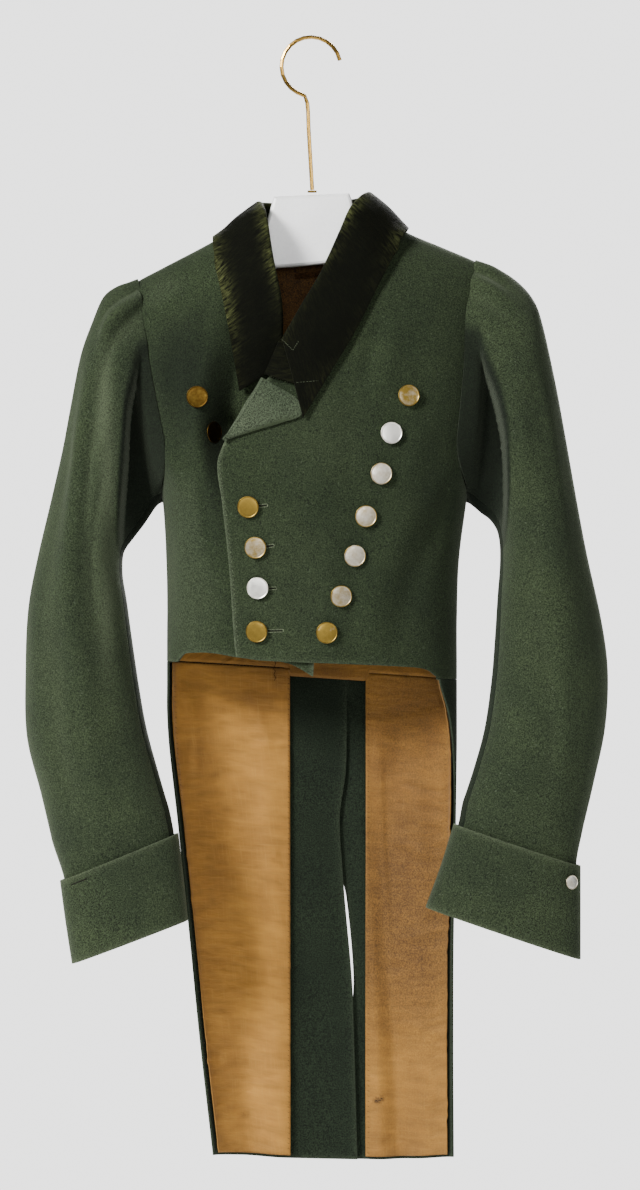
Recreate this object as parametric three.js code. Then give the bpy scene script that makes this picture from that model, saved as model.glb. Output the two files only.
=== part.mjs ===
// A man's double-breasted tailcoat of about 1825, hung on a plain hanger with a wire hook.
// Millimetres, +Z up, the coat faces -Y. The origin is the top of the inside of the hook's bend,
// where a rail carries it. Left and right are the wearer's: the left front is on +X.
import * as THREE from "three";

// ---- Driving dimensions ----
const clothThickness = 2.2; // felted wool
const velvetThickness = 2.6; // collar velvet over its canvas
const liningThickness = 1;
const seamGap = 0.3; // between pieces sewn together
const layerGap = 0.5; // between pieces that lie on each other

const sectionPower = 2.5; // 2 is an ellipse, more is squarer
const shoulderRoll = 95; // height over which the body rounds in to the shoulder seam
const armholeAngle = 60; // degrees from the centre front to the front edge of the armhole
const armholeBottom = -460;
const armholeScoop = 64; // height of the rounded lower part of the armhole
const waistHeight = -622; // the seam between the body and its skirts
const skirtHem = -1121;

// The body's cross-sections, from the neck down: how far it reaches to each side, front and back.
const bodySections = [
  { z: -140, right: 196, left: 186, front: 42, back: 40 },
  { z: -223, right: 196, left: 185, front: 52, back: 46 },
  { z: -272, right: 190, left: 175, front: 62, back: 52 },
  { z: -330, right: 180, left: 171, front: 72, back: 56 },
  { z: -400, right: 164, left: 163, front: 79, back: 57 },
  { z: -458, right: 149, left: 156, front: 79, back: 55 },
  { z: -521, right: 145, left: 148, front: 74, back: 51 },
  { z: -580, right: 144, left: 146, front: 69, back: 47 },
  { z: -622, right: 144, left: 146, front: 66, back: 45 },
  { z: -700, right: 144, left: 146, front: 64, back: 44 },
];

// The line of the shoulder seams, side to side. The coat hangs a little lower on its right.
// Inside the neck the line is the height where the body would close.
const shoulderLine = [
  { x: -200, z: -262 },
  { x: -174, z: -243 },
  { x: -150, z: -230 },
  { x: -97, z: -202 },
  { x: -72, z: -186 },
  { x: -40, z: -152 },
  { x: 0, z: -138 },
  { x: 40, z: -150 },
  { x: 74, z: -180 },
  { x: 97, z: -194 },
  { x: 130, z: -208 },
  { x: 165, z: -223 },
  { x: 200, z: -242 },
];

// The free and the sewn edges of the two fronts, as their distance from the middle at each height.
const leftFrontEdge = [
  { z: -181, x: 74 },
  { z: -195, x: 54 },
  { z: -208, x: 40 },
  { z: -231, x: 26 },
  { z: -253, x: 16 },
  { z: -272, x: 6 },
  { z: -293, x: -7 },
  { z: -312, x: -20 },
  { z: -326, x: -31 },
  { z: -338, x: -43 },
  { z: -362, x: -61 },
  { z: -384, x: -74 },
  { z: -403, x: -85 },
  { z: -424, x: -91 },
  { z: -462, x: -86 },
  { z: -527, x: -79 },
  { z: -603, x: -74 },
  { z: -618, x: -72 },
];
const rightFrontEdge = [
  { z: -187, x: -71 },
  { z: -195, x: -60 },
  { z: -210, x: -54 },
  { z: -233, x: -49 },
  { z: -257, x: -44 },
  { z: -306, x: -38 },
  { z: -334, x: -36 },
  { z: -370, x: -30 },
  { z: -420, x: -12 },
  { z: -470, x: 4 },
  { z: -560, x: 7 },
  { z: -640, x: 2 },
];
// The bottom edges of the fronts, from the free edge round to the side seam.
const leftFrontHem = [
  { x: -72, z: -617.5 },
  { x: -47, z: -621 },
  { x: 24, z: -624 },
  { x: 89, z: -627 },
  { x: 115, z: -630 },
  { x: 127, z: -638 },
  { x: 146, z: -641 },
];
const rightFrontHem = [
  { x: -146, z: -619 },
  { x: -124, z: -614 },
  { x: -100, z: -613.5 },
  { x: -72, z: -618 },
  { x: -22, z: -624 },
  { x: 4, z: -638 },
];

// The right front drops back from the left one's roll edge: how deep, at each height.
const rightFrontHollow = [
  { z: -236, depth: 0, start: -96 },
  { z: -270, depth: 7, start: -98 },
  { z: -305, depth: 18, start: -104 },
  { z: -350, depth: 30, start: -112 },
  { z: -395, depth: 36, start: -117 },
  { z: -430, depth: 25, start: -112 },
  { z: -470, depth: 7, start: -100 },
  { z: -520, depth: 0, start: -96 },
];

const materials = {
  wool: new THREE.MeshStandardMaterial({ color: 0x3f5a41, roughness: 0.95, metalness: 0 }),
  velvet: new THREE.MeshStandardMaterial({ color: 0x1e2310, roughness: 0.9, metalness: 0 }),
  linen: new THREE.MeshStandardMaterial({ color: 0xa9753a, roughness: 0.85, metalness: 0 }),
  brass: new THREE.MeshStandardMaterial({ color: 0xb99a58, roughness: 0.35, metalness: 1 }),
  hanger: new THREE.MeshStandardMaterial({ color: 0xe6e7e4, roughness: 0.35, metalness: 0 }),
};

const coat = new THREE.Group();

// ---- Curves through tables ----
const clamp = THREE.MathUtils.clamp;
const mix = THREE.MathUtils.lerp;
const radians = THREE.MathUtils.degToRad;

// The value of a table's column at any place between its rows, on a smooth curve through them.
function read(rows, place, at, column) {
  const last = rows.length - 1;
  const rising = rows[last][place] > rows[0][place];
  let k = 0;
  while (k < last - 1 && (rising ? at > rows[k + 1][place] : at < rows[k + 1][place])) k++;
  const slope = (from, to) => (to[column] - from[column]) / (to[place] - from[place]);
  const near = rows[k];
  const far = rows[k + 1];
  const span = far[place] - near[place];
  const t = clamp((at - near[place]) / span, 0, 1);
  const slopeIn = k > 0 ? slope(rows[k - 1], far) : slope(near, far);
  const slopeOut = k + 1 < last ? slope(near, rows[k + 2]) : slope(near, far);
  const t2 = t * t;
  const t3 = t2 * t;
  return (
    (2 * t3 - 3 * t2 + 1) * near[column] +
    (t3 - 2 * t2 + t) * slopeIn * span +
    (3 * t2 - 2 * t3) * far[column] +
    (t3 - t2) * slopeOut * span
  );
}

// 0 before `from`, 1 after `to`, and a soft step between.
function softStep(value, from, to) {
  const t = clamp((value - from) / (to - from), 0, 1);
  return t * t * (3 - 2 * t);
}

// ---- Cloth walls ----
// A closed wall of cloth through a grid of points on its face, rows going down. `side` is 1 or -1:
// which way the face looks, so that the back of the cloth lies the other way. `closed` joins the
// last column to the first, as on a tube. `outwardAt` gives the face's direction where it is known.
// Both sides of a quad are split along its shorter diagonal, so that a thin wall can't cross itself.
function clothWall(name, grid, thickness, side, material, { closed = false, outwardAt = null } = {}) {
  const rows = grid.length;
  const columns = grid[0].length;
  const column = (c) => (closed ? (c + columns) % columns : clamp(c, 0, columns - 1));
  const at = (r, c) => grid[clamp(r, 0, rows - 1)][column(c)];
  const outward = (r, c) => {
    if (outwardAt) return outwardAt(r, c).clone();
    const down = at(r + 1, c).clone().sub(at(r - 1, c));
    const across = at(r, c + 1).clone().sub(at(r, c - 1));
    return across.cross(down).normalize().multiplyScalar(side);
  };
  const points = grid.flat().map((point) => point.clone());
  const under = points.length;
  for (let r = 0; r < rows; r++)
    for (let c = 0; c < columns; c++)
      points.push(at(r, c).clone().addScaledVector(outward(r, c), -thickness));
  const triangles = [];
  const quad = (a, b, c, d) => {
    if (side > 0) triangles.push(a, b, c, a, c, d);
    else triangles.push(a, c, b, a, d, c);
  };
  const rim = (a, b) => quad(b, a, under + a, under + b);
  const spans = closed ? columns : columns - 1;
  const corner = (r, c) => r * columns + column(c);
  for (let c = 0; c < spans; c++) {
    for (let r = 0; r + 1 < rows; r++) {
      const ring = [corner(r, c), corner(r, c + 1), corner(r + 1, c + 1), corner(r + 1, c)];
      const [first, next, below, start] = ring.map((k) => points[k]);
      if (next.distanceTo(start) < first.distanceTo(below)) ring.push(ring.shift());
      quad(...ring);
      quad(...[0, 3, 2, 1].map((k) => under + ring[k]));
    }
    rim(corner(0, c), corner(0, c + 1));
    rim(corner(rows - 1, c + 1), corner(rows - 1, c));
  }
  for (let r = 0; r + 1 < rows && !closed; r++) {
    rim(corner(r + 1, 0), corner(r, 0));
    rim(corner(r, columns - 1), corner(r + 1, columns - 1));
  }
  return addSolid(name, points, triangles, material);
}

function addSolid(name, points, triangles, material) {
  const geometry = new THREE.BufferGeometry().setFromPoints(points);
  geometry.setIndex(triangles);
  geometry.computeVertexNormals();
  return addMesh(name, geometry, material);
}

function addMesh(name, geometry, material) {
  const mesh = new THREE.Mesh(geometry, material);
  mesh.name = name;
  coat.add(mesh);
  return mesh;
}

// ---- The body's surface ----
const roundPower = 2 / sectionPower;
const rollPower = 2.3;
const shoulderHeight = (x) => read(shoulderLine, "x", x, "z");
const waistAt = (x) => -631 - x / 16; // the waist seam, a little lower on the coat's left

// A point of the body at an angle from the centre front (+ towards the left side) and a height,
// moved out by `lift`. Near the shoulder seam the front and the back round in to each other.
function bodyPoint(angle, z, lift = 0) {
  const s = Math.sin(radians(angle));
  const c = Math.cos(radians(angle));
  const reach = read(bodySections, "z", z, s >= 0 ? "left" : "right") + lift;
  const depth = read(bodySections, "z", z, c >= 0 ? "front" : "back") + lift;
  const x = Math.sign(s) * reach * Math.abs(s) ** roundPower;
  const rise = clamp((z - (shoulderHeight(x) + lift - shoulderRoll)) / shoulderRoll, 0, 1);
  const roll = (1 - rise ** rollPower) ** (1 / rollPower);
  return new THREE.Vector3(x, -Math.sign(c) * depth * Math.abs(c) ** roundPower * roll, z);
}

// The angle at which the body is `x` from the middle, on its front.
function frontAngle(x, z) {
  const reach = read(bodySections, "z", z, x >= 0 ? "left" : "right");
  return THREE.MathUtils.radToDeg(Math.sign(x) * Math.asin(Math.min(1, (Math.abs(x) / reach) ** (1 / roundPower))));
}

// Which way a surface, given as a function of angle and height, looks.
function outwardOf(surface, angle, z) {
  const turn = surface(angle + 0.4, z).sub(surface(angle - 0.4, z));
  const rise = surface(angle, z + 0.4).sub(surface(angle, z - 0.4));
  return turn.cross(rise).normalize();
}

// The side seam runs from under the arm towards the middle of the back, as an angle.
const sideSeam = [
  { z: -455, angle: 100.5 },
  { z: -500, angle: 112 },
  { z: -550, angle: 130 },
  { z: -600, angle: 147 },
  { z: -645, angle: 153 },
];
const seamAngle = (z) => read(sideSeam, "z", Math.min(z, -455), "angle");

// The armhole's edge on the front and on the back, as an angle: straight, then scooped under the arm.
function armholeEdge(z, onFront) {
  const depth = clamp((armholeBottom + armholeScoop - z) / armholeScoop, 0, 1);
  const turn = 1 - Math.sqrt(1 - depth * depth);
  return mix(onFront ? armholeAngle : 180 - armholeAngle, seamAngle(armholeBottom), turn);
}
const outerEdge = (z, onFront) => (z > armholeBottom ? armholeEdge(z, onFront) : seamAngle(z));

// The heights of a body panel's rows at its armhole edge, closer together where it rounds.
function panelHeights(top, hem) {
  const heights = [];
  for (let k = 0; k < 7; k++) {
    const rise = Math.cos((k / 6) * (Math.PI / 2)) ** (2 / rollPower);
    heights.push(top - shoulderRoll * (1 - rise));
  }
  const scoopTop = armholeBottom + armholeScoop;
  for (const part of [0.35, 0.7, 1]) heights.push(mix(heights[6], scoopTop, part));
  for (const turn of [22, 40, 55, 68, 80, 90]) heights.push(scoopTop - armholeScoop * Math.sin(radians(turn)));
  for (const part of [0.1, 0.28, 0.5, 0.75, 1]) heights.push(mix(armholeBottom, hem, part));
  return heights;
}

// ---- Body panels ----
const neckLine = -187; // the neck seam's height at the middle of the back
const seamTurn = 0.16; // degrees that a panel stops short of a side seam
const centreTurn = 0.011; // and of the seam down the middle of the back
const overlapLift = clothThickness + 1.5; // the left front lies on the right one
const sideColumns = 6; // columns of a panel that widen under the arm
const sideStart = 8; // degrees before the armhole's edge where they begin

const panelTop = (x, onFront) => (onFront ? shoulderHeight(x) : Math.min(shoulderHeight(x), neckLine + Math.abs(x) / 30));

// The height of a panel's top at an angle.
function topHeight(angle, onFront) {
  let z = neckLine;
  for (let pass = 0; pass < 6; pass++) z = panelTop(bodyPoint(angle, z).x, onFront);
  return z;
}

// The angles of one row of a panel. A front's middle stays evenly spaced, and only the columns
// past its armhole widen under the arm.
function rowAngles(inner, outer, armhole, onFront, columns) {
  const plain = columns - sideColumns;
  const turn = armhole - Math.sign(armhole) * sideStart;
  return Array.from({ length: columns }, (_, column) => {
    if (!onFront) return mix(inner, outer, column / (columns - 1));
    return column < plain ? mix(inner, turn, column / plain) : mix(turn, outer, (column - plain) / (sideColumns - 1));
  });
}

// A front or a back as a grid of points on `surface`, from its shoulder to its hem.
function bodyPanel(name, { half, onFront, innerAngle, hemAt, surface, columns }) {
  const armhole = half * (onFront ? armholeAngle : 180 - armholeAngle);
  const armholeTop = topHeight(armhole, onFront);
  const heights = panelHeights(armholeTop, hemAt(half * seamAngle(waistHeight)));
  const innerTop = topHeight(innerAngle(neckLine), onFront);
  const innerHem = hemAt(innerAngle(waistHeight));
  const seamSide = onFront ? -seamTurn : seamTurn;
  const hemOuter = half * (seamAngle(waistHeight) + seamSide);
  const tops = rowAngles(innerAngle(innerTop), armhole, armhole, onFront, columns).map((angle) => topHeight(angle, onFront));
  const hems = rowAngles(innerAngle(innerHem), hemOuter, armhole, onFront, columns).map(hemAt);
  const places = heights.map((height) => {
    const v = (armholeTop - height) / (armholeTop - heights[heights.length - 1]);
    const outer = half * (outerEdge(height, onFront) + (height < armholeBottom ? seamSide : 0));
    const inner = innerAngle(mix(innerTop, innerHem, v));
    return rowAngles(inner, outer, armhole, onFront, columns).map((angle, column) => ({
      angle,
      z: mix(tops[column], hems[column], v),
    }));
  });
  const grid = places.map((row) => row.map(({ angle, z }) => surface(angle, z)));
  grid[0].forEach((point, column) => {
    const ridge = places[0][column].z > shoulderHeight(point.x) - 0.05;
    if (ridge) point.y = onFront ? -seamGap / 2 : seamGap / 2;
  });
  const outwardAt = (row, column) => {
    const { angle, z } = places[row][column];
    const outward = outwardOf(surface, angle, z);
    if (Math.abs(grid[row][column].y) < seamGap) outward.y = 0;
    return outward.normalize();
  };
  return clothWall(name, grid, clothThickness, onFront ? -half : half, materials.wool, { outwardAt });
}

const bodyHem = (angle) => waistAt(bodyPoint(angle, waistHeight).x);
function frontHem(table, angle) {
  const x = bodyPoint(angle, waistHeight).x;
  const away = softStep(Math.abs(angle), 58, 66);
  return mix(read(table, "x", clamp(x, -146, 146), "z"), waistAt(x), away);
}

function leftFrontSurface(angle, z) {
  const { x } = bodyPoint(angle, z);
  const lifted = overlapLift * (1 - softStep(x, 8, 48)) * softStep(-z, 300, 345);
  return bodyPoint(angle, z, lifted);
}

function rightFrontSurface(angle, z) {
  const point = bodyPoint(angle, z);
  const start = read(rightFrontHollow, "z", z, "start");
  point.y += read(rightFrontHollow, "z", z, "depth") * softStep(point.x, start, start + 38);
  return point;
}

bodyPanel("front_left", {
  half: 1,
  onFront: true,
  innerAngle: (z) => frontAngle(read(leftFrontEdge, "z", z, "x"), z),
  hemAt: (angle) => frontHem(leftFrontHem, angle),
  surface: leftFrontSurface,
  columns: 14,
});
bodyPanel("front_right", {
  half: -1,
  onFront: true,
  innerAngle: (z) => frontAngle(read(rightFrontEdge, "z", z, "x"), z),
  hemAt: (angle) => frontHem(rightFrontHem, angle),
  surface: rightFrontSurface,
  columns: 14,
});
for (const [name, half] of [["back_left", 1], ["back_right", -1]])
  bodyPanel(name, {
    half,
    onFront: false,
    innerAngle: () => half * (180 - centreTurn),
    hemAt: bodyHem,
    surface: bodyPoint,
    columns: 9,
  });


// The lining of the back: it shows in the neck and under the fronts' hem.
const liningLift = -(clothThickness + layerGap + 2.2);
const liningHalfAngle = 54;
const liningHem = 8; // the lining reaches this far below the waist seam
function bodyLining() {
  const rows = 11;
  const columns = 13;
  const surface = (angle, z) => bodyPoint(angle, z, liningLift);
  const places = Array.from({ length: rows }, (_, row) =>
    Array.from({ length: columns }, (_, column) => {
      const angle = 180 + mix(-liningHalfAngle, liningHalfAngle, column / (columns - 1));
      const { x } = bodyPoint(angle, waistHeight);
      const top = Math.min(topHeight(angle, false), shoulderHeight(x) - 16) - 5;
      return { angle, z: mix(top, waistAt(x) - liningHem, row / (rows - 1)) };
    }),
  );
  const grid = places.map((row) => row.map(({ angle, z }) => surface(angle, z)));
  const outwardAt = (row, column) => outwardOf(surface, places[row][column].angle, places[row][column].z);
  clothWall("body_lining", grid, liningThickness, -1, materials.linen, { outwardAt });
}
bodyLining();


// ---- Skirts ----
// The two tails hang from the waist seam. `right` and `left` are how far each reaches to its side,
// and the angles are where its front edge stands, counted from the centre front.
const skirtSections = [
  { z: -618, right: 144, left: 146, back: 45, rightEdge: 82, leftEdge: 57 },
  { z: -645, right: 144, left: 146, back: 45, rightEdge: 83, leftEdge: 59 },
  { z: -672, right: 144, left: 146, back: 45, rightEdge: 86, leftEdge: 68 },
  { z: -706, right: 142, left: 146, back: 45, rightEdge: 89, leftEdge: 76 },
  { z: -782, right: 134, left: 145, back: 46, rightEdge: 94, leftEdge: 87 },
  { z: -880, right: 125, left: 144, back: 47, rightEdge: 99, leftEdge: 96 },
  { z: -1000, right: 114, left: 145, back: 48, rightEdge: 102, leftEdge: 101 },
  { z: -1127, right: 100, left: 147, back: 48, rightEdge: 104, leftEdge: 104 },
];
// The vent: where the right tail's inner edge runs, and how far the left one laps past it.
const vent = [
  { z: -618, x: 36, lap: -0.6 },
  { z: -690, x: 31, lap: -0.6 },
  { z: -735, x: 30, lap: 6 },
  { z: -780, x: 29, lap: 6 },
  { z: -835, x: 32, lap: 2 },
  { z: -862, x: 34, lap: -3 },
  { z: -940, x: 41, lap: -3 },
  { z: -985, x: 43, lap: 2 },
  { z: -1127, x: 47, lap: 4 },
];
const skirtHems = [
  { x: -100, z: -1117.5 },
  { x: -22, z: -1123 },
  { x: 47, z: -1124.5 },
  { x: 90, z: -1124 },
  { x: 147, z: -1119 },
];
// Soft upright folds: where each starts and ends, its half-width, and how far it bows back.
const skirtFolds = [
  { topX: 66, hemX: 90, width: 13, bow: 8 },
  { topX: 104, hemX: 116, width: 15, bow: -4 },
  { topX: -98, hemX: -62, width: 17, bow: 5 },
  { topX: -46, hemX: -30, width: 15, bow: -4 },
];
const lapLift = clothThickness + 1.6;
const liningInnerEdge = { right: -22, left: 57 }; // beyond these the skirts show their own wool
const tailRows = 12;

function skirtPoint(half, angle, z, lift = 0) {
  const s = Math.sin(radians(angle));
  const c = Math.cos(radians(angle));
  const reach = read(skirtSections, "z", z, half > 0 ? "left" : "right") + lift;
  const depth = (c > 0 ? 66 : read(skirtSections, "z", z, "back")) + lift;
  const point = new THREE.Vector3(
    Math.sign(s) * reach * Math.abs(s) ** roundPower,
    -Math.sign(c) * depth * Math.abs(c) ** roundPower,
    z,
  );
  const down = clamp((waistHeight - z) / (waistHeight - skirtHem), 0, 1);
  const settled = softStep(-z, 640, 800);
  for (const fold of skirtFolds) {
    const away = (point.x - mix(fold.topX, fold.hemX, down)) / fold.width;
    point.y += fold.bow * settled * Math.exp(-away * away) * softStep(-c, 0, 0.4);
  }
  if (half > 0) {
    const ventX = read(vent, "z", z, "x");
    point.y += lapLift * softStep(-z, 630, 662) * softStep(-point.x, -ventX - 26, -ventX - 6) * (c < 0);
  }
  return point;
}

// The angle at which a skirt is `x` from the middle, on the back.
function skirtAngle(half, x, z) {
  const reach = read(skirtSections, "z", z, half > 0 ? "left" : "right");
  const turn = THREE.MathUtils.radToDeg(Math.asin((Math.abs(x) / reach) ** (1 / roundPower)));
  return half * (180 - Math.sign(x) * half * turn);
}

function skirtSheet(name, { half, startAngle, endX, lift, thickness, topGap, hemGap, columns, material }) {
  const surface = (angle, z) => skirtPoint(half, angle, z, lift);
  const places = Array.from({ length: tailRows }, (_, row) =>
    Array.from({ length: columns }, (_, column) => {
      const part = column / (columns - 1);
      const v = row / (tailRows - 1);
      const rough = mix(waistAt(0), skirtHem, v);
      const angle = mix(startAngle(rough), skirtAngle(half, endX(rough), rough), part);
      const { x } = surface(angle, rough);
      const z = mix(waistAt(x) - topGap, read(skirtHems, "x", clamp(x, -100, 147), "z") + hemGap, v);
      return { angle: mix(startAngle(z), skirtAngle(half, endX(z), z), part), z };
    }),
  );
  const grid = places.map((row) => row.map(({ angle, z }) => surface(angle, z)));
  const outwardAt = (row, column) => {
    const outward = outwardOf(surface, places[row][column].angle, places[row][column].z);
    if (row === 0) outward.z = 0;
    return outward.normalize();
  };
  clothWall(name, grid, thickness, -half, material, { outwardAt });
}

for (const half of [1, -1]) {
  const word = half > 0 ? "left" : "right";
  const edge = (z) => half * read(skirtSections, "z", z, word + "Edge");
  skirtSheet("tail_" + word, {
    half,
    startAngle: edge,
    endX: (z) => read(vent, "z", z, "x") - (half > 0 ? read(vent, "z", z, "lap") : 0),
    lift: 0,
    thickness: clothThickness,
    topGap: seamGap + 0.1,
    hemGap: 0,
    columns: 13,
    material: materials.wool,
  });
  skirtSheet("tail_lining_" + word, {
    half,
    startAngle: (z) => edge(z) + half * 3,
    endX: () => liningInnerEdge[word],
    lift: -(clothThickness + layerGap + 2.4),
    thickness: liningThickness,
    topGap: liningHem + 1,
    hemGap: 3,
    columns: 11,
    material: materials.linen,
  });
}


// ---- Sleeves ----
// Stations from the armhole to the wrist. Each crosses the sleeve from its outer side (outX, outZ)
// to its inner side (inX, inZ), and reaches to the front and the back of its middle line `y`.
// Up to `crease` of the way in, the front is full. Past it the cloth drops back under the arm.
const sleeveStations = {
  right: [
    { outX: -181, outZ: -247, inX: -153, inZ: -463, y: -3, front: 42, back: 37, crease: 0.3, drop: 0.1 },
    { outX: -192, outZ: -251, inX: -157, inZ: -467, y: -4, front: 46, back: 39, crease: 0.4, drop: 0.34 },
    { outX: -206, outZ: -261, inX: -163, inZ: -476, y: -5, front: 50, back: 41, crease: 0.5, drop: 0.48 },
    { outX: -217, outZ: -286, inX: -169, inZ: -485, y: -6, front: 52, back: 43, crease: 0.62, drop: 0.55 },
    { outX: -228, outZ: -318, inX: -179, inZ: -498, y: -7, front: 53, back: 45, crease: 0.76, drop: 0.5 },
    { outX: -238, outZ: -369, inX: -187, inZ: -509, y: -8, front: 53, back: 46, crease: 0.88, drop: 0.3 },
    { outX: -246, outZ: -412, inX: -190, inZ: -519, y: -9, front: 53, back: 47, crease: 0.95, drop: 0 },
    { outX: -257, outZ: -461, inX: -190, inZ: -538, y: -10, front: 53, back: 47, crease: 1, drop: 0 },
    { outX: -271, outZ: -521, inX: -186, inZ: -562, y: -12, front: 53, back: 47, crease: 1, drop: 0 },
    { outX: -280, outZ: -571, inX: -181, inZ: -598, y: -13, front: 52, back: 47, crease: 1, drop: 0 },
    { outX: -282.5, outZ: -631, inX: -174, inZ: -645, y: -15, front: 49, back: 46, crease: 1, drop: 0 },
    { outX: -281, outZ: -696, inX: -166, inZ: -689, y: -20, front: 46, back: 40, crease: 1, drop: 0 },
    { outX: -267, outZ: -752, inX: -154, inZ: -733, y: -24, front: 41, back: 34, crease: 1, drop: 0 },
    { outX: -255, outZ: -802, inX: -143, inZ: -770, y: -28, front: 37, back: 28, crease: 1, drop: 0 },
  ],
  left: [
    { outX: 172, outZ: -226, inX: 160, inZ: -463, y: -3, front: 42, back: 37, crease: 0.3, drop: 0.1 },
    { outX: 184, outZ: -231, inX: 165, inZ: -467, y: -4, front: 46, back: 39, crease: 0.4, drop: 0.34 },
    { outX: 204, outZ: -244, inX: 172, inZ: -473, y: -5, front: 50, back: 41, crease: 0.5, drop: 0.48 },
    { outX: 220, outZ: -262, inX: 180, inZ: -479, y: -6, front: 52, back: 43, crease: 0.62, drop: 0.55 },
    { outX: 229, outZ: -286, inX: 187, inZ: -489, y: -7, front: 53, back: 45, crease: 0.76, drop: 0.5 },
    { outX: 242, outZ: -345, inX: 190, inZ: -500, y: -8, front: 53, back: 46, crease: 0.88, drop: 0.3 },
    { outX: 252, outZ: -399, inX: 191, inZ: -513, y: -9, front: 53, back: 47, crease: 0.95, drop: 0 },
    { outX: 262, outZ: -456, inX: 190.5, inZ: -532, y: -10, front: 53, back: 47, crease: 1, drop: 0 },
    { outX: 273, outZ: -515, inX: 188.5, inZ: -556, y: -12, front: 53, back: 47, crease: 1, drop: 0 },
    { outX: 288, outZ: -584, inX: 185.5, inZ: -602, y: -13, front: 52, back: 47, crease: 1, drop: 0 },
    { outX: 294, outZ: -634, inX: 182, inZ: -643, y: -15, front: 49, back: 46, crease: 1, drop: 0 },
    { outX: 291, outZ: -688, inX: 175, inZ: -690, y: -20, front: 46, back: 40, crease: 1, drop: 0 },
    { outX: 280, outZ: -740, inX: 164, inZ: -730, y: -24, front: 41, back: 34, crease: 1, drop: 0 },
    { outX: 269, outZ: -786, inX: 153, inZ: -763, y: -28, front: 37, back: 28, crease: 1, drop: 0 },
  ],
};
// The two cuffs, turned back over the sleeves' ends.
const cuffStations = {
  right: [
    { outX: -247.5, outZ: -839.5, inX: -134, inZ: -793, y: -31, front: 34, back: 25, roundness: 0.64 },
    { outX: -242, outZ: -880, inX: -129, inZ: -836, y: -32, front: 33, back: 24, roundness: 0.62 },
    { outX: -235.5, outZ: -922, inX: -124.5, inZ: -879.5, y: -32, front: 32, back: 23, roundness: 0.6 },
  ],
  left: [
    { outX: 266, outZ: -825, inX: 144, inZ: -784, y: -31, front: 34, back: 25, roundness: 0.64 },
    { outX: 266, outZ: -870, inX: 131, inZ: -826, y: -32, front: 33, back: 24, roundness: 0.62 },
    { outX: 266, outZ: -918, inX: 116, inZ: -867, y: -32, front: 32, back: 23, roundness: 0.6 },
  ],
};
const sleeveSeams = { front: 158, back: 286 }; // where the under-sleeve begins and ends, in degrees round
const sleeveRoundness = 0.86; // 1 is an ellipse, less is squarer
const creaseWidth = 0.13;

// Folds down a sleeve and gathers at its head. Each lies at an angle round the sleeve, from `top`
// to `foot`, between two rings counted from the armhole. + stands out and - is a trough.
const sleeveFolds = {
  right: [
    { top: 34, foot: 44, width: 6, depth: -3.4, from: 0, to: 4.6 },
    { top: 23, foot: 29, width: 6, depth: 2.2, from: 0, to: 4.4 },
    { top: 46, foot: 60, width: 7, depth: 2.4, from: 0, to: 5 },
    { top: 8, foot: 8, width: 6, depth: -1.5, from: 0, to: 3.6 },
    { top: -10, foot: -10, width: 7, depth: 1.8, from: 0, to: 4 },
    { top: -27, foot: -30, width: 6, depth: -2.2, from: 0, to: 4 },
    { top: 60, foot: 124, width: 15, depth: 2.6, from: 2.6, to: 12.5 },
    { top: 44, foot: 97, width: 13, depth: -2.8, from: 3.4, to: 13.5 },
    { top: 30, foot: 66, width: 16, depth: 1.8, from: 4.5, to: 14.5 },
    { top: -50, foot: -62, width: 14, depth: -2.4, from: 4, to: 11 },
  ],
  left: [
    { top: 24, foot: 27, width: 5, depth: 1.9, from: 0, to: 3.2 },
    { top: 34, foot: 38, width: 5, depth: -2, from: 0, to: 3.6 },
    { top: 45, foot: 50, width: 5, depth: 1.6, from: 0, to: 3.2 },
    { top: 12, foot: 12, width: 5, depth: -1.2, from: 0, to: 3 },
    { top: -12, foot: -12, width: 7, depth: 1.6, from: 0, to: 4 },
    { top: -27, foot: -30, width: 6, depth: -2, from: 0, to: 4 },
    { top: 76, foot: 112, width: 16, depth: 1.5, from: 4, to: 12 },
    { top: 48, foot: 78, width: 15, depth: -1.5, from: 4.5, to: 13 },
    { top: -50, foot: -62, width: 14, depth: -2.4, from: 4, to: 11 },
  ],
};

// How far a sleeve's face is moved out by its folds.
function sleeveRelief(word, turn, ring) {
  let relief = 0;
  for (const fold of sleeveFolds[word]) {
    const down = (ring - fold.from) / (fold.to - fold.from);
    const centre = mix(fold.top, fold.foot, softStep(down, 0, 1));
    const around = ((turn - centre + 540) % 360) - 180;
    const ends = softStep(down, fold.from > 0 ? 0 : -0.3, 0.3) * (1 - softStep(down, 0.55, 1));
    relief += fold.depth * ends * Math.exp(-((around / fold.width) ** 2));
  }
  return relief;
}

// A point round a sleeve's station: 0 degrees is its outer side, 90 its front, 180 its inner side.
function stationPoint(station, turn, inset = 0) {
  const c = Math.cos(radians(turn));
  const s = Math.sin(radians(turn));
  const length = Math.hypot(station.inX - station.outX, station.inZ - station.outZ);
  const part = 0.5 - (c / 2) * (1 - (2 * inset) / length);
  const crease = station.crease ?? 1;
  const kept = s > 0 ? 1 - (station.drop ?? 0) * softStep(part, crease, crease + creaseWidth) : 1;
  const depth = (s > 0 ? station.front : station.back) - inset;
  const roundness = station.roundness ?? sleeveRoundness;
  return new THREE.Vector3(
    mix(station.outX, station.inX, part),
    station.y - Math.sign(s) * depth * Math.abs(s) ** roundness * kept,
    mix(station.outZ, station.inZ, part),
  );
}

// The armhole's edge, as a ring that a sleeve is set on.
function armholePoint(half, turn) {
  const onFront = turn < 180;
  const top = topHeight(half * armholeAngle, true);
  const z = mix(armholeBottom, top, 0.5 + Math.cos(radians(turn)) / 2);
  const point = bodyPoint(half * armholeEdge(z, onFront), Math.min(z, top - 0.01));
  const under = softStep(-Math.cos(radians(turn)), 0.55, 0.95);
  point.x += half * (2 * seamGap + 2 * under);
  return point;
}

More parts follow.
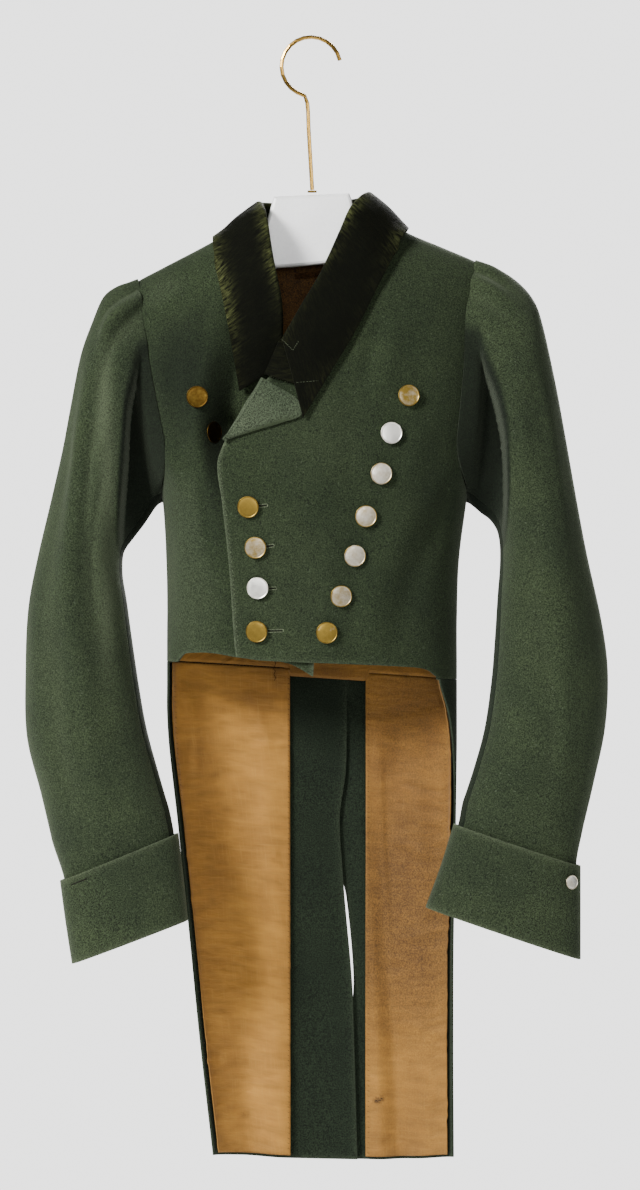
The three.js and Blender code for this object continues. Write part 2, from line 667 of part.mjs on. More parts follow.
const cuffInset = clothThickness + 2.4; // the sleeve goes on inside its cuff
const sleeveEnd = 3; // and ends this far above the cuff's edge

// The rings of a whole sleeve, each a function of the turn round it.
function sleeveRings(half, stations, cuff) {
  const rings = [(turn) => armholePoint(half, (turn + 360) % 360)];
  for (const station of stations) rings.push((turn) => stationPoint(station, turn));
  for (const station of cuff) rings.push((turn) => stationPoint(station, turn, cuffInset));
  const end = rings.pop();
  rings.push((turn) => end(turn).add(new THREE.Vector3(0, 0, sleeveEnd)));
  return rings;
}

// The turns round a sleeve of a piece's columns, which stand closer at the gathered head.
function sleeveTurns(from, to) {
  const turns = [from];
  while (turns[turns.length - 1] < to - 1) {
    const last = turns[turns.length - 1];
    const atHead = last > headTurns.from && last < headTurns.to;
    turns.push(Math.min(to, last + (atHead ? headTurns.step : headTurns.plainStep)));
  }
  if (to - turns[turns.length - 2] < headTurns.plainStep / 2) turns.splice(-2, 1);
  return turns;
}

function sleevePart(name, word, half, from, to, rings) {
  const turns = sleeveTurns(from, to);
  const outwardAt = (row, column) => {
    const turn = turns[column];
    const around = rings[row](turn + 3).sub(rings[row](turn - 3));
    const next = rings[Math.min(row + 1, rings.length - 1)];
    const down = next(turn).sub(rings[Math.max(row - 1, 0)](turn));
    return around.cross(down).normalize().multiplyScalar(-half);
  };
  const grid = rings.map((ring, row) =>
    turns.map((turn, column) => ring(turn).addScaledVector(outwardAt(row, column), sleeveRelief(word, turn, row))),
  );
  clothWall(name, grid, clothThickness, -half, materials.wool, { outwardAt });
}

const headTurns = { from: -36, to: 56, step: 5.5, plainStep: 13.5 };
const partTurn = 0.2; // degrees that a sleeve piece stops short of its seam
for (const half of [1, -1]) {
  const word = half > 0 ? "left" : "right";
  const { front, back } = sleeveSeams;
  const cuffRows = cuffStations[word];
  const rings = sleeveRings(half, sleeveStations[word], cuffRows);
  sleevePart(`sleeve_${word}_upper`, word, half, back - 360 + partTurn, front - partTurn, rings);
  sleevePart(`sleeve_${word}_under`, word, half, front + partTurn, back - partTurn, rings);
  const round = Array.from({ length: 24 }, (_, k) => k * 15);
  const cuff = cuffRows.map((station) => round.map((turn) => stationPoint(station, turn)));
  clothWall("cuff_" + word, cuff, clothThickness, -half, materials.wool, { closed: true });
}


// ---- Collar ----
// The velvet collar is one folded wall: a stand that rises from the neck seam, a roll, and a fall
// that lies on the coat. Rows run from its left front end round the neck to its right front end.
const collarRows = [
  { at: 1, rollX: -29, rollY: -78, rollZ: -303, edgeX: -7.5, edgeY: -87, edgeZ: -381, seamX: -22.5, seamY: -74.6, seamZ: -326 },
  { at: 3, rollX: -11, rollY: -71, rollZ: -271, edgeX: 14, edgeY: -82, edgeZ: -345, seamX: -3.5, seamY: -66.8, seamZ: -293 },
  { at: 5, rollX: 10, rollY: -62, rollZ: -235, edgeX: 44, edgeY: -70.5, edgeZ: -295, seamX: 20, seamY: -58.8, seamZ: -253 },
  { at: 7, rollX: 29, rollY: -48, rollZ: -193, edgeX: 70, edgeY: -58, edgeZ: -243, seamX: 41, seamY: -47.8, seamZ: -208 },
  { at: 8, rollX: 38, rollY: -37, rollZ: -172, edgeX: 82, edgeY: -47, edgeZ: -220, seamX: 54, seamY: -38.5, seamZ: -191 },
  { at: 9, rollX: 48, rollY: -18, rollZ: -159, edgeX: 93, edgeY: -31, edgeZ: -203.5, seamX: 68, seamY: -22, seamZ: -182 },
  { at: 10, rollX: 55, rollY: 2, rollZ: -154, edgeX: 98, edgeY: -4, edgeZ: -191, seamX: 75, seamY: 4, seamZ: -178 },
  { at: 11, rollX: 54, rollY: 20, rollZ: -155, edgeX: 93, edgeY: 24, edgeZ: -197, seamX: 71, seamY: 15, seamZ: -183 },
  { at: 12, rollX: 42, rollY: 34, rollZ: -158, edgeX: 68, edgeY: 43, edgeZ: -204, seamX: 55, seamY: 28, seamZ: -184.3 },
  { at: 14, rollX: -4, rollY: 44, rollZ: -161, edgeX: -6, edgeY: 52, edgeZ: -209, seamX: -5, seamY: 36.8, seamZ: -186 },
  { at: 16, rollX: -42, rollY: 33, rollZ: -162, edgeX: -76, edgeY: 40, edgeZ: -209, seamX: -57, seamY: 23.5, seamZ: -184 },
  { at: 17, rollX: -50, rollY: 16, rollZ: -163, edgeX: -95, edgeY: 20, edgeZ: -206, seamX: -70, seamY: 10, seamZ: -182 },
  { at: 18, rollX: -48, rollY: -6, rollZ: -165, edgeX: -98, edgeY: -6, edgeZ: -201, seamX: -72, seamY: -6, seamZ: -182 },
  { at: 19, rollX: -44, rollY: -34, rollZ: -178, edgeX: -97, edgeY: -38, edgeZ: -220, seamX: -62, seamY: -34.2, seamZ: -195 },
  { at: 21, rollX: -37, rollY: -56, rollZ: -222, edgeX: -88, edgeY: -60, edgeZ: -260, seamX: -52, seamY: -52.8, seamZ: -233 },
  { at: 23, rollX: -28, rollY: -60.5, rollZ: -270, edgeX: -79, edgeY: -58, edgeZ: -306, seamX: -43, seamY: -53.8, seamZ: -281 },
  { at: 25, rollX: -28, rollY: -53, rollZ: -325, edgeX: -71, edgeY: -48, edgeZ: -354, seamX: -41, seamY: -46.6, seamZ: -334 },
];
const rollRadius = 3.7;
const fallLift = velvetThickness + 1;
const onShoulder = 0.8; // above this share of the rounding the body faces up more than out
const hollowLift = 2.2; // a little more, where the right front turns in under the collar

function collarPoint(at, part) {
  const spot = (word) =>
    new THREE.Vector3(
      read(collarRows, "at", at, word + "X"),
      read(collarRows, "at", at, word + "Y"),
      read(collarRows, "at", at, word + "Z"),
    );
  return spot(part);
}

// One section of the collar, from the neck seam over the roll to the edge of the fall.
function collarSection(at) {
  const roll = collarPoint(at, "roll");
  const edge = collarPoint(at, "edge");
  const seam = collarPoint(at, "seam");
  const along = collarPoint(at + 0.2, "roll").sub(collarPoint(at - 0.2, "roll"));
  const up = roll.clone().sub(edge).normalize();
  const outward = edge.clone().sub(roll).cross(along).normalize();
  const fold = (degrees) =>
    roll
      .clone()
      .addScaledVector(up, rollRadius * (Math.cos(radians(degrees)) - 1))
      .addScaledVector(outward, rollRadius * Math.sin(radians(degrees)));
  const inner = fold(-80);
  const outer = fold(80);
  const section = [seam, seam.clone().lerp(inner, 0.5), inner, fold(-40), fold(0), fold(40), outer];
  for (const part of [0.22, 0.48, 0.74, 1]) {
    const point = outer.clone().lerp(edge, part);
    point.addScaledVector(outward, 2.5 * Math.sin(Math.PI * part));
    section.push(clearOfBody(point, fallLift));
  }
  return section;
}

// Moves a point off the body: up from the shoulder, or out from the front or the back.
function clearOfBody(point, gap) {
  const onFront = point.y < 0;
  const top = shoulderHeight(point.x);
  const angle = frontAngle(point.x, point.z);
  const depth = Math.abs(bodyPoint(onFront ? angle : 180 - angle, top - shoulderRoll).y);
  const rise = (1 - clamp(Math.abs(point.y) / depth, 0, 1) ** rollPower) ** (1 / rollPower);
  if (rise > onShoulder) {
    point.z = Math.max(point.z, top - shoulderRoll * (1 - rise) + 1.5 * gap);
    return point;
  }
  const surface = point.x > 0 ? leftFrontSurface : rightFrontSurface;
  const wall = onFront ? surface(angle, point.z) : bodyPoint(180 - angle, point.z);
  const out = gap + (onFront && point.x < 0 ? hollowLift : 0);
  point.y = onFront ? Math.min(point.y, wall.y - out) : Math.max(point.y, wall.y + out);
  return point;
}

const collarSteps = 25;
const collarGrid = Array.from({ length: collarSteps }, (_, row) =>
  collarSection(mix(1, 25, row / (collarSteps - 1))),
);
clothWall("collar", collarGrid, velvetThickness, 1, materials.velvet);

// The small velvet piece below the collar's left end, beside the slit of the notch.
const notchPiece = {
  top: { x: -29, z: -303 },
  bottomAtRoll: { x: -46, z: -338 },
  bottomAtSlit: { x: -18.5, z: -347.5 },
};
function notchGrid() {
  const { top, bottomAtRoll, bottomAtSlit } = notchPiece;
  return [0.06, 0.4, 0.72, 1].map((down) =>
    [0, 0.3, 0.65, 1].map((across) => {
      const left = { x: mix(top.x - 1.5, bottomAtRoll.x, down), z: mix(top.z, bottomAtRoll.z, down) };
      const right = { x: mix(top.x - 0.9, bottomAtSlit.x, down), z: mix(top.z, bottomAtSlit.z, down) };
      const x = mix(left.x, right.x, across);
      const z = mix(left.z, right.z, across);
      return new THREE.Vector3(x, -78.5 - 3.5 * down + 1.5 * across * (1 - down), z);
    }),
  );
}
clothWall("collar_notch_piece", notchGrid(), velvetThickness, -1, materials.velvet);

// ---- Lapel ----
// The left front's top corner turned back: from the roll line out to its point.
const lapelRows = [
  { rollX: -48, rollZ: -341, outX: -15, outZ: -360.5 },
  { rollX: -55, rollZ: -353, outX: -11, outZ: -367 },
  { rollX: -63, rollZ: -365, outX: -10, outZ: -379 },
  { rollX: -71, rollZ: -379, outX: -30, outZ: -386.5 },
  { rollX: -79, rollZ: -392, outX: -55, outZ: -394 },
  { rollX: -86, rollZ: -403, outX: -80, outZ: -402 },
];
const lapelGrid = lapelRows.map((row) =>
  [0, 0.07, 0.2, 0.45, 0.72, 1].map((across) => {
    const x = mix(row.rollX - 1, row.outX, across);
    const z = mix(row.rollZ, row.outZ, across);
    const body = leftFrontSurface(frontAngle(x, z), z);
    const lift = across === 0 ? 3.4 : 4.2 + 3.6 * (1 - across);
    return new THREE.Vector3(x, body.y - lift, z);
  }),
);
clothWall("lapel_left", lapelGrid, clothThickness, -1, materials.wool);


// ---- Buttons ----
const buttonDiameter = 21.5;
const cuffButtonDiameter = 14;
const buttonSides = 12;
const buttonGap = 0.8; // between the shank and the cloth it is sewn to

// A flat gilt disc with a thin raised edge, on a short shank. Its back is at z = 0, its face at +Z.
function buttonGeometry(diameter) {
  const radius = diameter / 2;
  const profile = [
    [0, 0],
    [0.16 * radius, 0],
    [0.16 * radius, 1.8],
    [0.93 * radius, 2.2],
    [radius, 2.9],
    [0.95 * radius, 3.7],
    [0, 3.6],
  ].map(([r, z]) => new THREE.Vector2(r, z));
  return new THREE.LatheGeometry(profile, buttonSides).rotateX(Math.PI / 2);
}

function addButton(name, diameter, point, outward) {
  const button = addMesh(name, buttonGeometry(diameter), materials.brass);
  button.position.copy(point).addScaledVector(outward, buttonGap);
  button.quaternion.setFromUnitVectors(new THREE.Vector3(0, 0, 1), outward);
}

// The two slanting rows of seven, top to bottom. The lower four of the right row come up through
// the left front's buttonholes, and its third is hidden behind the lapel.
const buttonRows = {
  left: [
    { x: 96, z: -359 },
    { x: 79, z: -396 },
    { x: 69, z: -436 },
    { x: 54, z: -478 },
    { x: 43, z: -517 },
    { x: 29, z: -557 },
    { x: 15, z: -593 },
  ],
  right: [
    { x: -112, z: -360 },
    { x: -99.5, z: -395, lift: 1.6 },
    { x: -76, z: -432, lift: 3 },
    { x: -60, z: -469 },
    { x: -53, z: -509 },
    { x: -51, z: -549 },
    { x: -52, z: -592 },
  ],
};
const buttonsHidden = 3; // of the right row, how many are on the right front itself
for (const side of ["left", "right"])
  buttonRows[side].forEach(({ x, z, lift = 0 }, k) => {
    const under = side === "right" && k < buttonsHidden;
    const surface = under ? rightFrontSurface : leftFrontSurface;
    const angle = frontAngle(x, z);
    const outward = outwardOf(surface, angle, z);
    const point = surface(angle, z).addScaledVector(outward, lift);
    addButton(`button_${side}_${k + 1}`, buttonDiameter, point, outward);
  });

const cuffButton = { turn: 33, down: 0.42, lift: 1.7 }; // on the left cuff: how far round and down
function cuffSurface(turn, down) {
  const [top, middle] = cuffStations.left;
  return stationPoint(top, turn).lerp(stationPoint(middle, turn), down);
}
{
  const { turn, down, lift } = cuffButton;
  const around = cuffSurface(turn + 2, down).sub(cuffSurface(turn - 2, down));
  const along = cuffSurface(turn, down + 0.1).sub(cuffSurface(turn, down - 0.1));
  const outward = around.cross(along).normalize();
  const point = cuffSurface(turn, down).addScaledVector(outward, lift);
  addButton("button_cuff_left", cuffButtonDiameter, point, outward);
}

// ---- Hanging loop, inside the back of the neck ----
const loopPlace = { x: -3, y: 33, z: -233, length: 26, bow: 3, height: 5 };
const loopGrid = [0, 1].map((down) =>
  Array.from({ length: 7 }, (_, k) => {
    const along = k / 6;
    return new THREE.Vector3(
      loopPlace.x + loopPlace.length * (along - 0.5),
      loopPlace.y - loopPlace.bow * Math.sin(Math.PI * along),
      loopPlace.z + 3 * along - loopPlace.height * down,
    );
  }),
);
clothWall("hanging_loop", loopGrid, liningThickness, -1, materials.linen);

// ---- Hanger ----
// A white moulded hanger: a flat neck plate with an arm inside each shoulder.
const hangerThickness = 15;
const hangerOutline = [
  [38, -154.5],
  [41, -162],
  [44, -181],
  [60, -190],
  [97, -205],
  [146, -227],
  [151, -234],
  [146, -244],
  [97, -228],
  [42, -222],
  [12, -225],
  [-6, -227],
  [-34, -229],
  [-60, -238],
  [-97, -250],
  [-146, -266],
  [-152, -258],
  [-147, -245],
  [-97, -216],
  [-60, -196],
  [-45, -186],
  [-40, -168],
  [-37, -158],
];
function addHanger() {
  const shape = new THREE.Shape(hangerOutline.map(([x, z]) => new THREE.Vector2(x, z)));
  const bevel = 3;
  const geometry = new THREE.ExtrudeGeometry(shape, {
    depth: hangerThickness - 2 * bevel,
    bevelThickness: bevel,
    bevelSize: bevel,
    bevelOffset: -bevel,
    bevelSegments: 2,
  });
  geometry.rotateX(Math.PI / 2).translate(0, hangerThickness / 2 - bevel, 0);
  addMesh("hanger_body", geometry, materials.hanger);
}
addHanger();

// ---- Hook ----
const wireDiameter = 4;
const bendRadius = 29.5; // to the middle of the wire
const bendCentre = -(bendRadius - wireDiameter / 2); // so that the inside of its top is at 0
const stemTop = { x: -4.2, z: -59 };
const stemFoot = { x: 1.2, z: -151 };
function addHook() {
  const path = [];
  for (let degrees = 12; degrees <= 246; degrees += 13)
    path.push([bendRadius * Math.cos(radians(degrees)), bendCentre + bendRadius * Math.sin(radians(degrees))]);
  path.push([stemTop.x - 1.4, stemTop.z + 1.6], [stemTop.x + 0.6, stemTop.z - 6]);
  for (const part of [0.35, 0.7, 1]) path.push([mix(stemTop.x, stemFoot.x, part), mix(stemTop.z, stemFoot.z, part)]);
  const curve = new THREE.CatmullRomCurve3(path.map(([x, z]) => new THREE.Vector3(x, 0, z)));
  const round = new THREE.Shape();
  for (let k = 0; k < 8; k++) {
    const turn = radians(k * 45);
    const corner = [(wireDiameter / 2) * Math.cos(turn), (wireDiameter / 2) * Math.sin(turn)];
    if (k === 0) round.moveTo(...corner);
    else round.lineTo(...corner);
  }
  round.closePath();
  addMesh("hanger_hook", new THREE.ExtrudeGeometry(round, { steps: 28, extrudePath: curve }), materials.brass);
}
addHook();

// The ring that the hook's stem stands in, on top of the neck plate.
const ringSize = { inner: 2.5, outer: 4.6, height: 1.8 };
const ringProfile = [
  [ringSize.inner, 0],
  [ringSize.outer, 0],
  [ringSize.outer, ringSize.height],
  [ringSize.inner, ringSize.height],
  [ringSize.inner, 0],
].map(([r, z]) => new THREE.Vector2(r, z));
const ring = addMesh("hook_ring", new THREE.LatheGeometry(ringProfile, 16).rotateX(Math.PI / 2), materials.brass);
ring.position.set(stemFoot.x, 0, -153.5);

export default coat;
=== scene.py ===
import math

import bmesh
import bpy
import numpy as np
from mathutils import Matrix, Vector
from mathutils.bvhtree import BVHTree


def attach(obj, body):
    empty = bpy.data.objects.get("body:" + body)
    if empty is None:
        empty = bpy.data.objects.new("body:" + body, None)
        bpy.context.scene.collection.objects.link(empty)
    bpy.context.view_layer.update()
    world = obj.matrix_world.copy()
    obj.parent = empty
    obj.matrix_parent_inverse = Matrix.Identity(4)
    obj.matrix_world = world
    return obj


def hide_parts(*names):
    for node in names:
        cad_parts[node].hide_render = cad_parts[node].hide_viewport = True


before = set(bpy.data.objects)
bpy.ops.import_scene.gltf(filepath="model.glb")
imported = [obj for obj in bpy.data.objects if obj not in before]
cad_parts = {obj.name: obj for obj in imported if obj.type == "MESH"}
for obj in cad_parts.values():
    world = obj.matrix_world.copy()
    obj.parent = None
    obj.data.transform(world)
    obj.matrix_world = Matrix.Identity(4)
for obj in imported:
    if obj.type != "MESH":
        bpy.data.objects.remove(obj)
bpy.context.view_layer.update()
mm = 0.001  # shapes are worked out in millimetres, and become metres as a mesh is made


# curves through tables

def hermite(places, values, at):
    # a smooth curve through values at rising places; values may hold whole rows of points
    places, values = np.asarray(places, float), np.asarray(values, float)
    if places[0] > places[-1]:
        places, values = places[::-1], values[::-1]
    deep = (slice(None),) + (None,) * (values.ndim - 1)
    slopes = np.empty_like(values)
    slopes[1:-1] = (values[2:] - values[:-2]) / (places[2:] - places[:-2])[deep]
    slopes[0] = (values[1] - values[0]) / (places[1] - places[0])
    slopes[-1] = (values[-1] - values[-2]) / (places[-1] - places[-2])
    at = np.clip(np.asarray(at, float), places[0], places[-1])
    k = np.clip(np.searchsorted(places, at, side="right") - 1, 0, len(places) - 2)
    span = places[k + 1] - places[k]
    t = (at - places[k]) / span
    if values.ndim > 1:
        t, span = t[deep], span[deep]
    return ((2 * t**3 - 3 * t**2 + 1) * values[k] + (t**3 - 2 * t**2 + t) * slopes[k] * span
            + (3 * t**2 - 2 * t**3) * values[k + 1] + (t**3 - t**2) * slopes[k + 1] * span)


def read(table, place, at, column):
    return hermite(table[place], table[column], at)


def mix(a, b, t):
    return a + (b - a) * t


def softStep(value, start, end):
    t = np.clip((value - start) / (end - start), 0, 1)
    return t * t * (3 - 2 * t)


def bump(value, width):
    return np.exp(-(value / width) ** 2)


# the body's surface

body = {
    "cloth": 2.2,  # felted wool
    "layerGap": 0.5,
    "seamGap": 0.3,
    "roundPower": 2 / 2.5,
    "rollPower": 2.3,
    "shoulderRoll": 95,
    "armholeAngle": 60,
    "armholeBottom": -460,
    "armholeScoop": 64,
    "waistHeight": -622,
    "skirtHem": -1121,
    "neckLine": -187,
    "overlapLift": 3.7,
    "sections": {
        "z": [-140, -223, -272, -330, -400, -458, -521, -580, -622, -700],
        "right": [196, 196, 190, 180, 164, 149, 145, 144, 144, 144],
        "left": [186, 185, 175, 171, 163, 156, 148, 146, 146, 146],
        "front": [42, 52, 62, 72, 79, 79, 74, 69, 66, 64],
        "back": [40, 46, 52, 56, 57, 55, 51, 47, 45, 44],
    },
    "shoulder": {
        "x": [-200, -174, -150, -97, -72, -40, 0, 40, 74, 97, 130, 165, 200],
        "z": [-262, -243, -230, -202, -186, -152, -138, -150, -180, -194, -208, -223, -242],
    },
    "sideSeam": {"z": [-455, -500, -550, -600, -645], "angle": [100.5, 112, 130, 147, 153]},
    "hollow": {  # the right front drops back from the left one's roll edge
        "z": [-236, -270, -305, -350, -395, -430, -470, -520],
        "depth": [0, 7, 18, 30, 36, 25, 7, 0],
        "start": [-96, -98, -104, -112, -117, -112, -100, -96],
    },
}
fronts = {
    "leftEdge": {
        "z": [-181, -195, -208, -231, -253, -272, -293, -312, -326, -338, -362, -384, -403, -424, -462,
              -527, -603, -618],
        "x": [74, 54, 40, 26, 16, 6, -7, -20, -31, -43, -61, -74, -85, -91, -86, -79, -74, -72],
    },
    "rightEdge": {
        "z": [-187, -195, -210, -233, -257, -306, -334, -370, -420, -470, -560, -640],
        "x": [-71, -60, -54, -49, -44, -38, -36, -30, -12, 4, 7, 2],
    },
    "leftHem": {"x": [-72, -47, 24, 89, 115, 127, 146], "z": [-617.5, -621, -624, -627, -630, -638, -641]},
    "rightHem": {"x": [-146, -124, -100, -72, -22, 4], "z": [-619, -614, -613.5, -618, -624, -638]},
}


def shoulderHeight(x):
    return read(body["shoulder"], "x", x, "z")


def waistAt(x):
    return -631 - x / 16


def bodyPoint(angle, z, lift=0.0):
    # angle 0 is the centre front and + turns towards the coat's left; near the shoulder seam
    # the front and the back round in to each other
    angle, z = np.broadcast_arrays(np.asarray(angle, float), np.asarray(z, float))
    s, c = np.sin(np.radians(angle)), np.cos(np.radians(angle))
    sections = body["sections"]
    reach = np.where(s >= 0, read(sections, "z", z, "left"), read(sections, "z", z, "right")) + lift
    depth = np.where(c >= 0, read(sections, "z", z, "front"), read(sections, "z", z, "back")) + lift
    x = np.sign(s) * reach * np.abs(s) ** body["roundPower"]
    top = shoulderHeight(x) + lift - body["shoulderRoll"]
    rise = np.clip((z - top) / body["shoulderRoll"], 0, 1)
    roll = (1 - rise ** body["rollPower"]) ** (1 / body["rollPower"])
    return np.stack([x, -np.sign(c) * depth * np.abs(c) ** body["roundPower"] * roll, z], -1)


def frontAngle(x, z):
    sections = body["sections"]
    reach = np.where(np.asarray(x) >= 0, read(sections, "z", z, "left"), read(sections, "z", z, "right"))
    part = np.minimum(1, (np.abs(x) / reach) ** (1 / body["roundPower"]))
    return np.degrees(np.sign(x) * np.arcsin(part))


def leftFrontSurface(angle, z):
    x = bodyPoint(angle, z)[..., 0]
    lifted = body["overlapLift"] * (1 - softStep(x, 8, 48)) * softStep(-z, 300, 345)
    return bodyPoint(angle, z, lifted)


def rightFrontSurface(angle, z):
    point = bodyPoint(angle, z)
    start = read(body["hollow"], "z", z, "start")
    point[..., 1] += read(body["hollow"], "z", z, "depth") * softStep(point[..., 0], start, start + 38)
    return point


def seamAngle(z):
    return read(body["sideSeam"], "z", np.minimum(z, -455), "angle")


def armholeEdge(z, onFront):
    scoop = body["armholeScoop"]
    depth = np.clip((body["armholeBottom"] + scoop - z) / scoop, 0, 1)
    turn = 1 - np.sqrt(1 - depth * depth)
    start = body["armholeAngle"] if onFront else 180 - body["armholeAngle"]
    return mix(start, seamAngle(body["armholeBottom"]), turn)


def outerEdge(z, onFront):
    return np.where(z > body["armholeBottom"], armholeEdge(z, onFront), seamAngle(z))


def panelTop(x, onFront):
    top = shoulderHeight(x)
    return top if onFront else np.minimum(top, body["neckLine"] + np.abs(x) / 30)


def topHeight(angle, onFront):
    z = np.full(np.shape(angle), float(body["neckLine"]))
    for _ in range(6):
        z = panelTop(bodyPoint(angle, z)[..., 0], onFront)
    return z


# folds

def looseCreases(count, low, high, slope, widths, depths, seed):
    # short creases scattered over a stretch of cloth, each nearly level
    random = np.random.default_rng(seed)
    creases = []
    for _ in range(count):
        x, z = random.uniform(low[0], high[0]), random.uniform(low[1], high[1])
        length = random.uniform(18, 55)
        turn = math.radians(random.normal(slope[0], slope[1]))
        depth = random.uniform(*depths) * random.choice([-1, 1])
        creases.append((x, z, x + length * math.cos(turn), z + length * math.sin(turn),
                        random.uniform(*widths), depth, random.uniform(-4, 4)))
    return creases


def stainAndPaintedLightAmount(grid, stainsAndPaintedLight):
    # how strong soft round patches are at each point, for stains and for painted light and shade: each patch
    # is x, z, its two radii and its depth
    dark = np.zeros(grid.shape[:2])
    for x, z, reachX, reachZ, depth in stainsAndPaintedLight:
        away = np.hypot((grid[..., 0] - x) / reachX, (grid[..., 2] - z) / reachZ)
        dark = np.maximum(dark, depth * np.exp(-away**3))
    return dark


def foldRelief(points, folds):
    # each fold runs from one place to another on the cloth as it hangs, seen from the front:
    # + stands out, - is a trough; both ends fade, and bend bows its middle sideways
    x, z = points[..., 0], points[..., 2]
    relief = np.zeros(x.shape)
    for fold in folds:
        x0, z0, x1, z1, width, depth = fold[:6]
        bend = fold[6] if len(fold) > 6 else 0
        length = math.hypot(x1 - x0, z1 - z0)
        alongX, alongZ = (x1 - x0) / length, (z1 - z0) / length
        t = ((x - x0) * alongX + (z - z0) * alongZ) / length
        across = (x - x0) * -alongZ + (z - z0) * alongX - bend * 4 * t * (1 - t)
        ends = softStep(t, -0.02, 0.22) * (1 - softStep(t, 0.72, 1.02))
        relief += depth * ends * bump(across, width)
    return relief


# cloth pieces

def gridNormals(grid, side):
    down = np.gradient(grid, axis=0)
    across = np.gradient(grid, axis=1)
    normals = np.cross(across, down) * side
    lengths = np.linalg.norm(normals, axis=-1, keepdims=True)
    return normals / np.maximum(lengths, 1e-9)


def clothPiece(node, grid, side, material, thickness, wear=None, closed=False, edge=0.45, level=False):
    # a sheet of rows going down and columns going across, given its thickness behind its face;
    # level lays its threads straight across each row
    rows, columns = grid.shape[:2]
    bm = bmesh.new()
    uvLayer = bm.loops.layers.uv.new("cloth")
    bmesh.ops.create_grid(bm, x_segments=columns - 1, y_segments=rows - 1, size=0.5)
    bm.verts.ensure_lookup_table()
    place = np.array([v.co[:2] for v in bm.verts])
    column = np.rint((place[:, 0] + 0.5) * (columns - 1)).astype(int)
    row = np.rint((0.5 - place[:, 1]) * (rows - 1)).astype(int)
    acrossStep = np.linalg.norm(np.diff(grid, axis=1), axis=-1)
    downStep = np.linalg.norm(np.diff(grid, axis=0), axis=-1)
    across = np.concatenate([np.zeros((rows, 1)), np.cumsum(acrossStep, 1)], 1) * mm
    down = np.concatenate([np.zeros((1, columns)), np.cumsum(downStep, 0)], 0) * mm
    name = node + "_cloth"
    across -= across[:, columns // 2][:, None]
    if level:
        down = down.mean(axis=1, keepdims=True) + 0 * down
    wearLayer = bm.verts.layers.float.new("wear")
    for vert, r, c in zip(bm.verts, row, column):
        vert.co = grid[r, c] * mm
        vert[wearLayer] = 0.0 if wear is None else float(wear[r, c])
        for loop in vert.link_loops:
            loop[uvLayer].uv = (across[r, c], -down[r, c])
    if closed:
        bmesh.ops.remove_doubles(bm, verts=bm.verts, dist=1e-5)
    if side > 0:
        bmesh.ops.reverse_faces(bm, faces=bm.faces)
    for face in bm.faces:
        face.smooth = True
    piece = finish(bm, name, material, node)
    wall = piece.modifiers.new("thickness", "SOLIDIFY")
    wall.thickness, wall.offset = thickness * mm, -1
    if edge:
        rim = piece.modifiers.new("edge", "BEVEL")
        rim.width, rim.segments = edge * mm, 2
        rim.limit_method, rim.angle_limit = "ANGLE", math.radians(55)
    return piece


def finish(bm, name, material, node=None):
    mesh = bpy.data.meshes.new(name)
    bm.to_mesh(mesh)
    bm.free()
    mesh.materials.append(material)
    piece = bpy.data.objects.new(name, mesh)
    bpy.context.scene.collection.objects.link(piece)
    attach(piece, "root")
    if node:
        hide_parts(node)
    return piece


def edgeWear(grid, left=0.0, right=0.0, top=0.0, bottom=0.0, reach=7.0):
    # how worn the cloth is along its edges, from 0 to 1
    acrossStep = np.linalg.norm(np.diff(grid, axis=1), axis=-1)
    downStep = np.linalg.norm(np.diff(grid, axis=0), axis=-1)
    fromLeft = np.concatenate([np.zeros((grid.shape[0], 1)), np.cumsum(acrossStep, 1)], 1)
    fromTop = np.concatenate([np.zeros((1, grid.shape[1])), np.cumsum(downStep, 0)], 0)
    fromRight = fromLeft[:, -1:] - fromLeft
    fromBottom = fromTop[-1:] - fromTop
    wear = np.zeros(grid.shape[:2])
    for distance, amount in ((fromLeft, left), (fromRight, right), (fromTop, top), (fromBottom, bottom)):
        if amount:
            wear = np.maximum(wear, amount * np.exp(-distance / reach))
    return wear


# finishes

def newGroup(name, inputs, outputs):
    group = bpy.data.node_groups.new(name, "ShaderNodeTree")
    for label, kind, value in inputs:
        socket = group.interface.new_socket(name=label, in_out="INPUT", socket_type=kind)
        if value is not None:
            socket.default_value = value
    for label, kind in outputs:
        group.interface.new_socket(name=label, in_out="OUTPUT", socket_type=kind)
    return group, group.nodes.new("NodeGroupInput"), group.nodes.new("NodeGroupOutput")


def addNode(tree, kind, values=None, **settings):
    node = tree.nodes.new(kind)
    for label, value in settings.items():
        setattr(node, label, value)
    for label, value in (values or {}).items():
        if isinstance(value, bpy.types.NodeSocket):
            tree.links.new(value, node.inputs[label])
        else:
            node.inputs[label].default_value = value
    return node


def maths(tree, operation, a, b=None, c=None, clamp=False):
    values = {k: v for k, v in enumerate((a, b, c)) if v is not None}
    return addNode(tree, "ShaderNodeMath", values, operation=operation, use_clamp=clamp).outputs[0]


def mixColours(tree, factor, a, b, blend="MIX"):
    node = addNode(tree, "ShaderNodeMix", data_type="RGBA", blend_type=blend)
    for index, value in ((0, factor), (6, a), (7, b)):
        if isinstance(value, bpy.types.NodeSocket):
            tree.links.new(value, node.inputs[index])
        else:
            node.inputs[index].default_value = value
    return node.outputs[2]


def noise(tree, vector, scale, detail=3.0, roughness=0.55):
    return addNode(tree, "ShaderNodeTexNoise", {
        "Vector": vector, "Scale": scale, "Detail": detail, "Roughness": roughness}).outputs["Fac"]


def spread(tree, value, low, high):
    return addNode(tree, "ShaderNodeMapRange", {
        "Value": value, "From Min": low, "From Max": high}).outputs["Result"]


def stretched(tree, place, across, down):
    scale = (across, down, 1.0)
    return addNode(tree, "ShaderNodeMapping", {"Vector": place, "Scale": scale}).outputs["Vector"]


def wearOf(tree):
    return addNode(tree, "ShaderNodeAttribute", attribute_name="wear").outputs["Fac"]


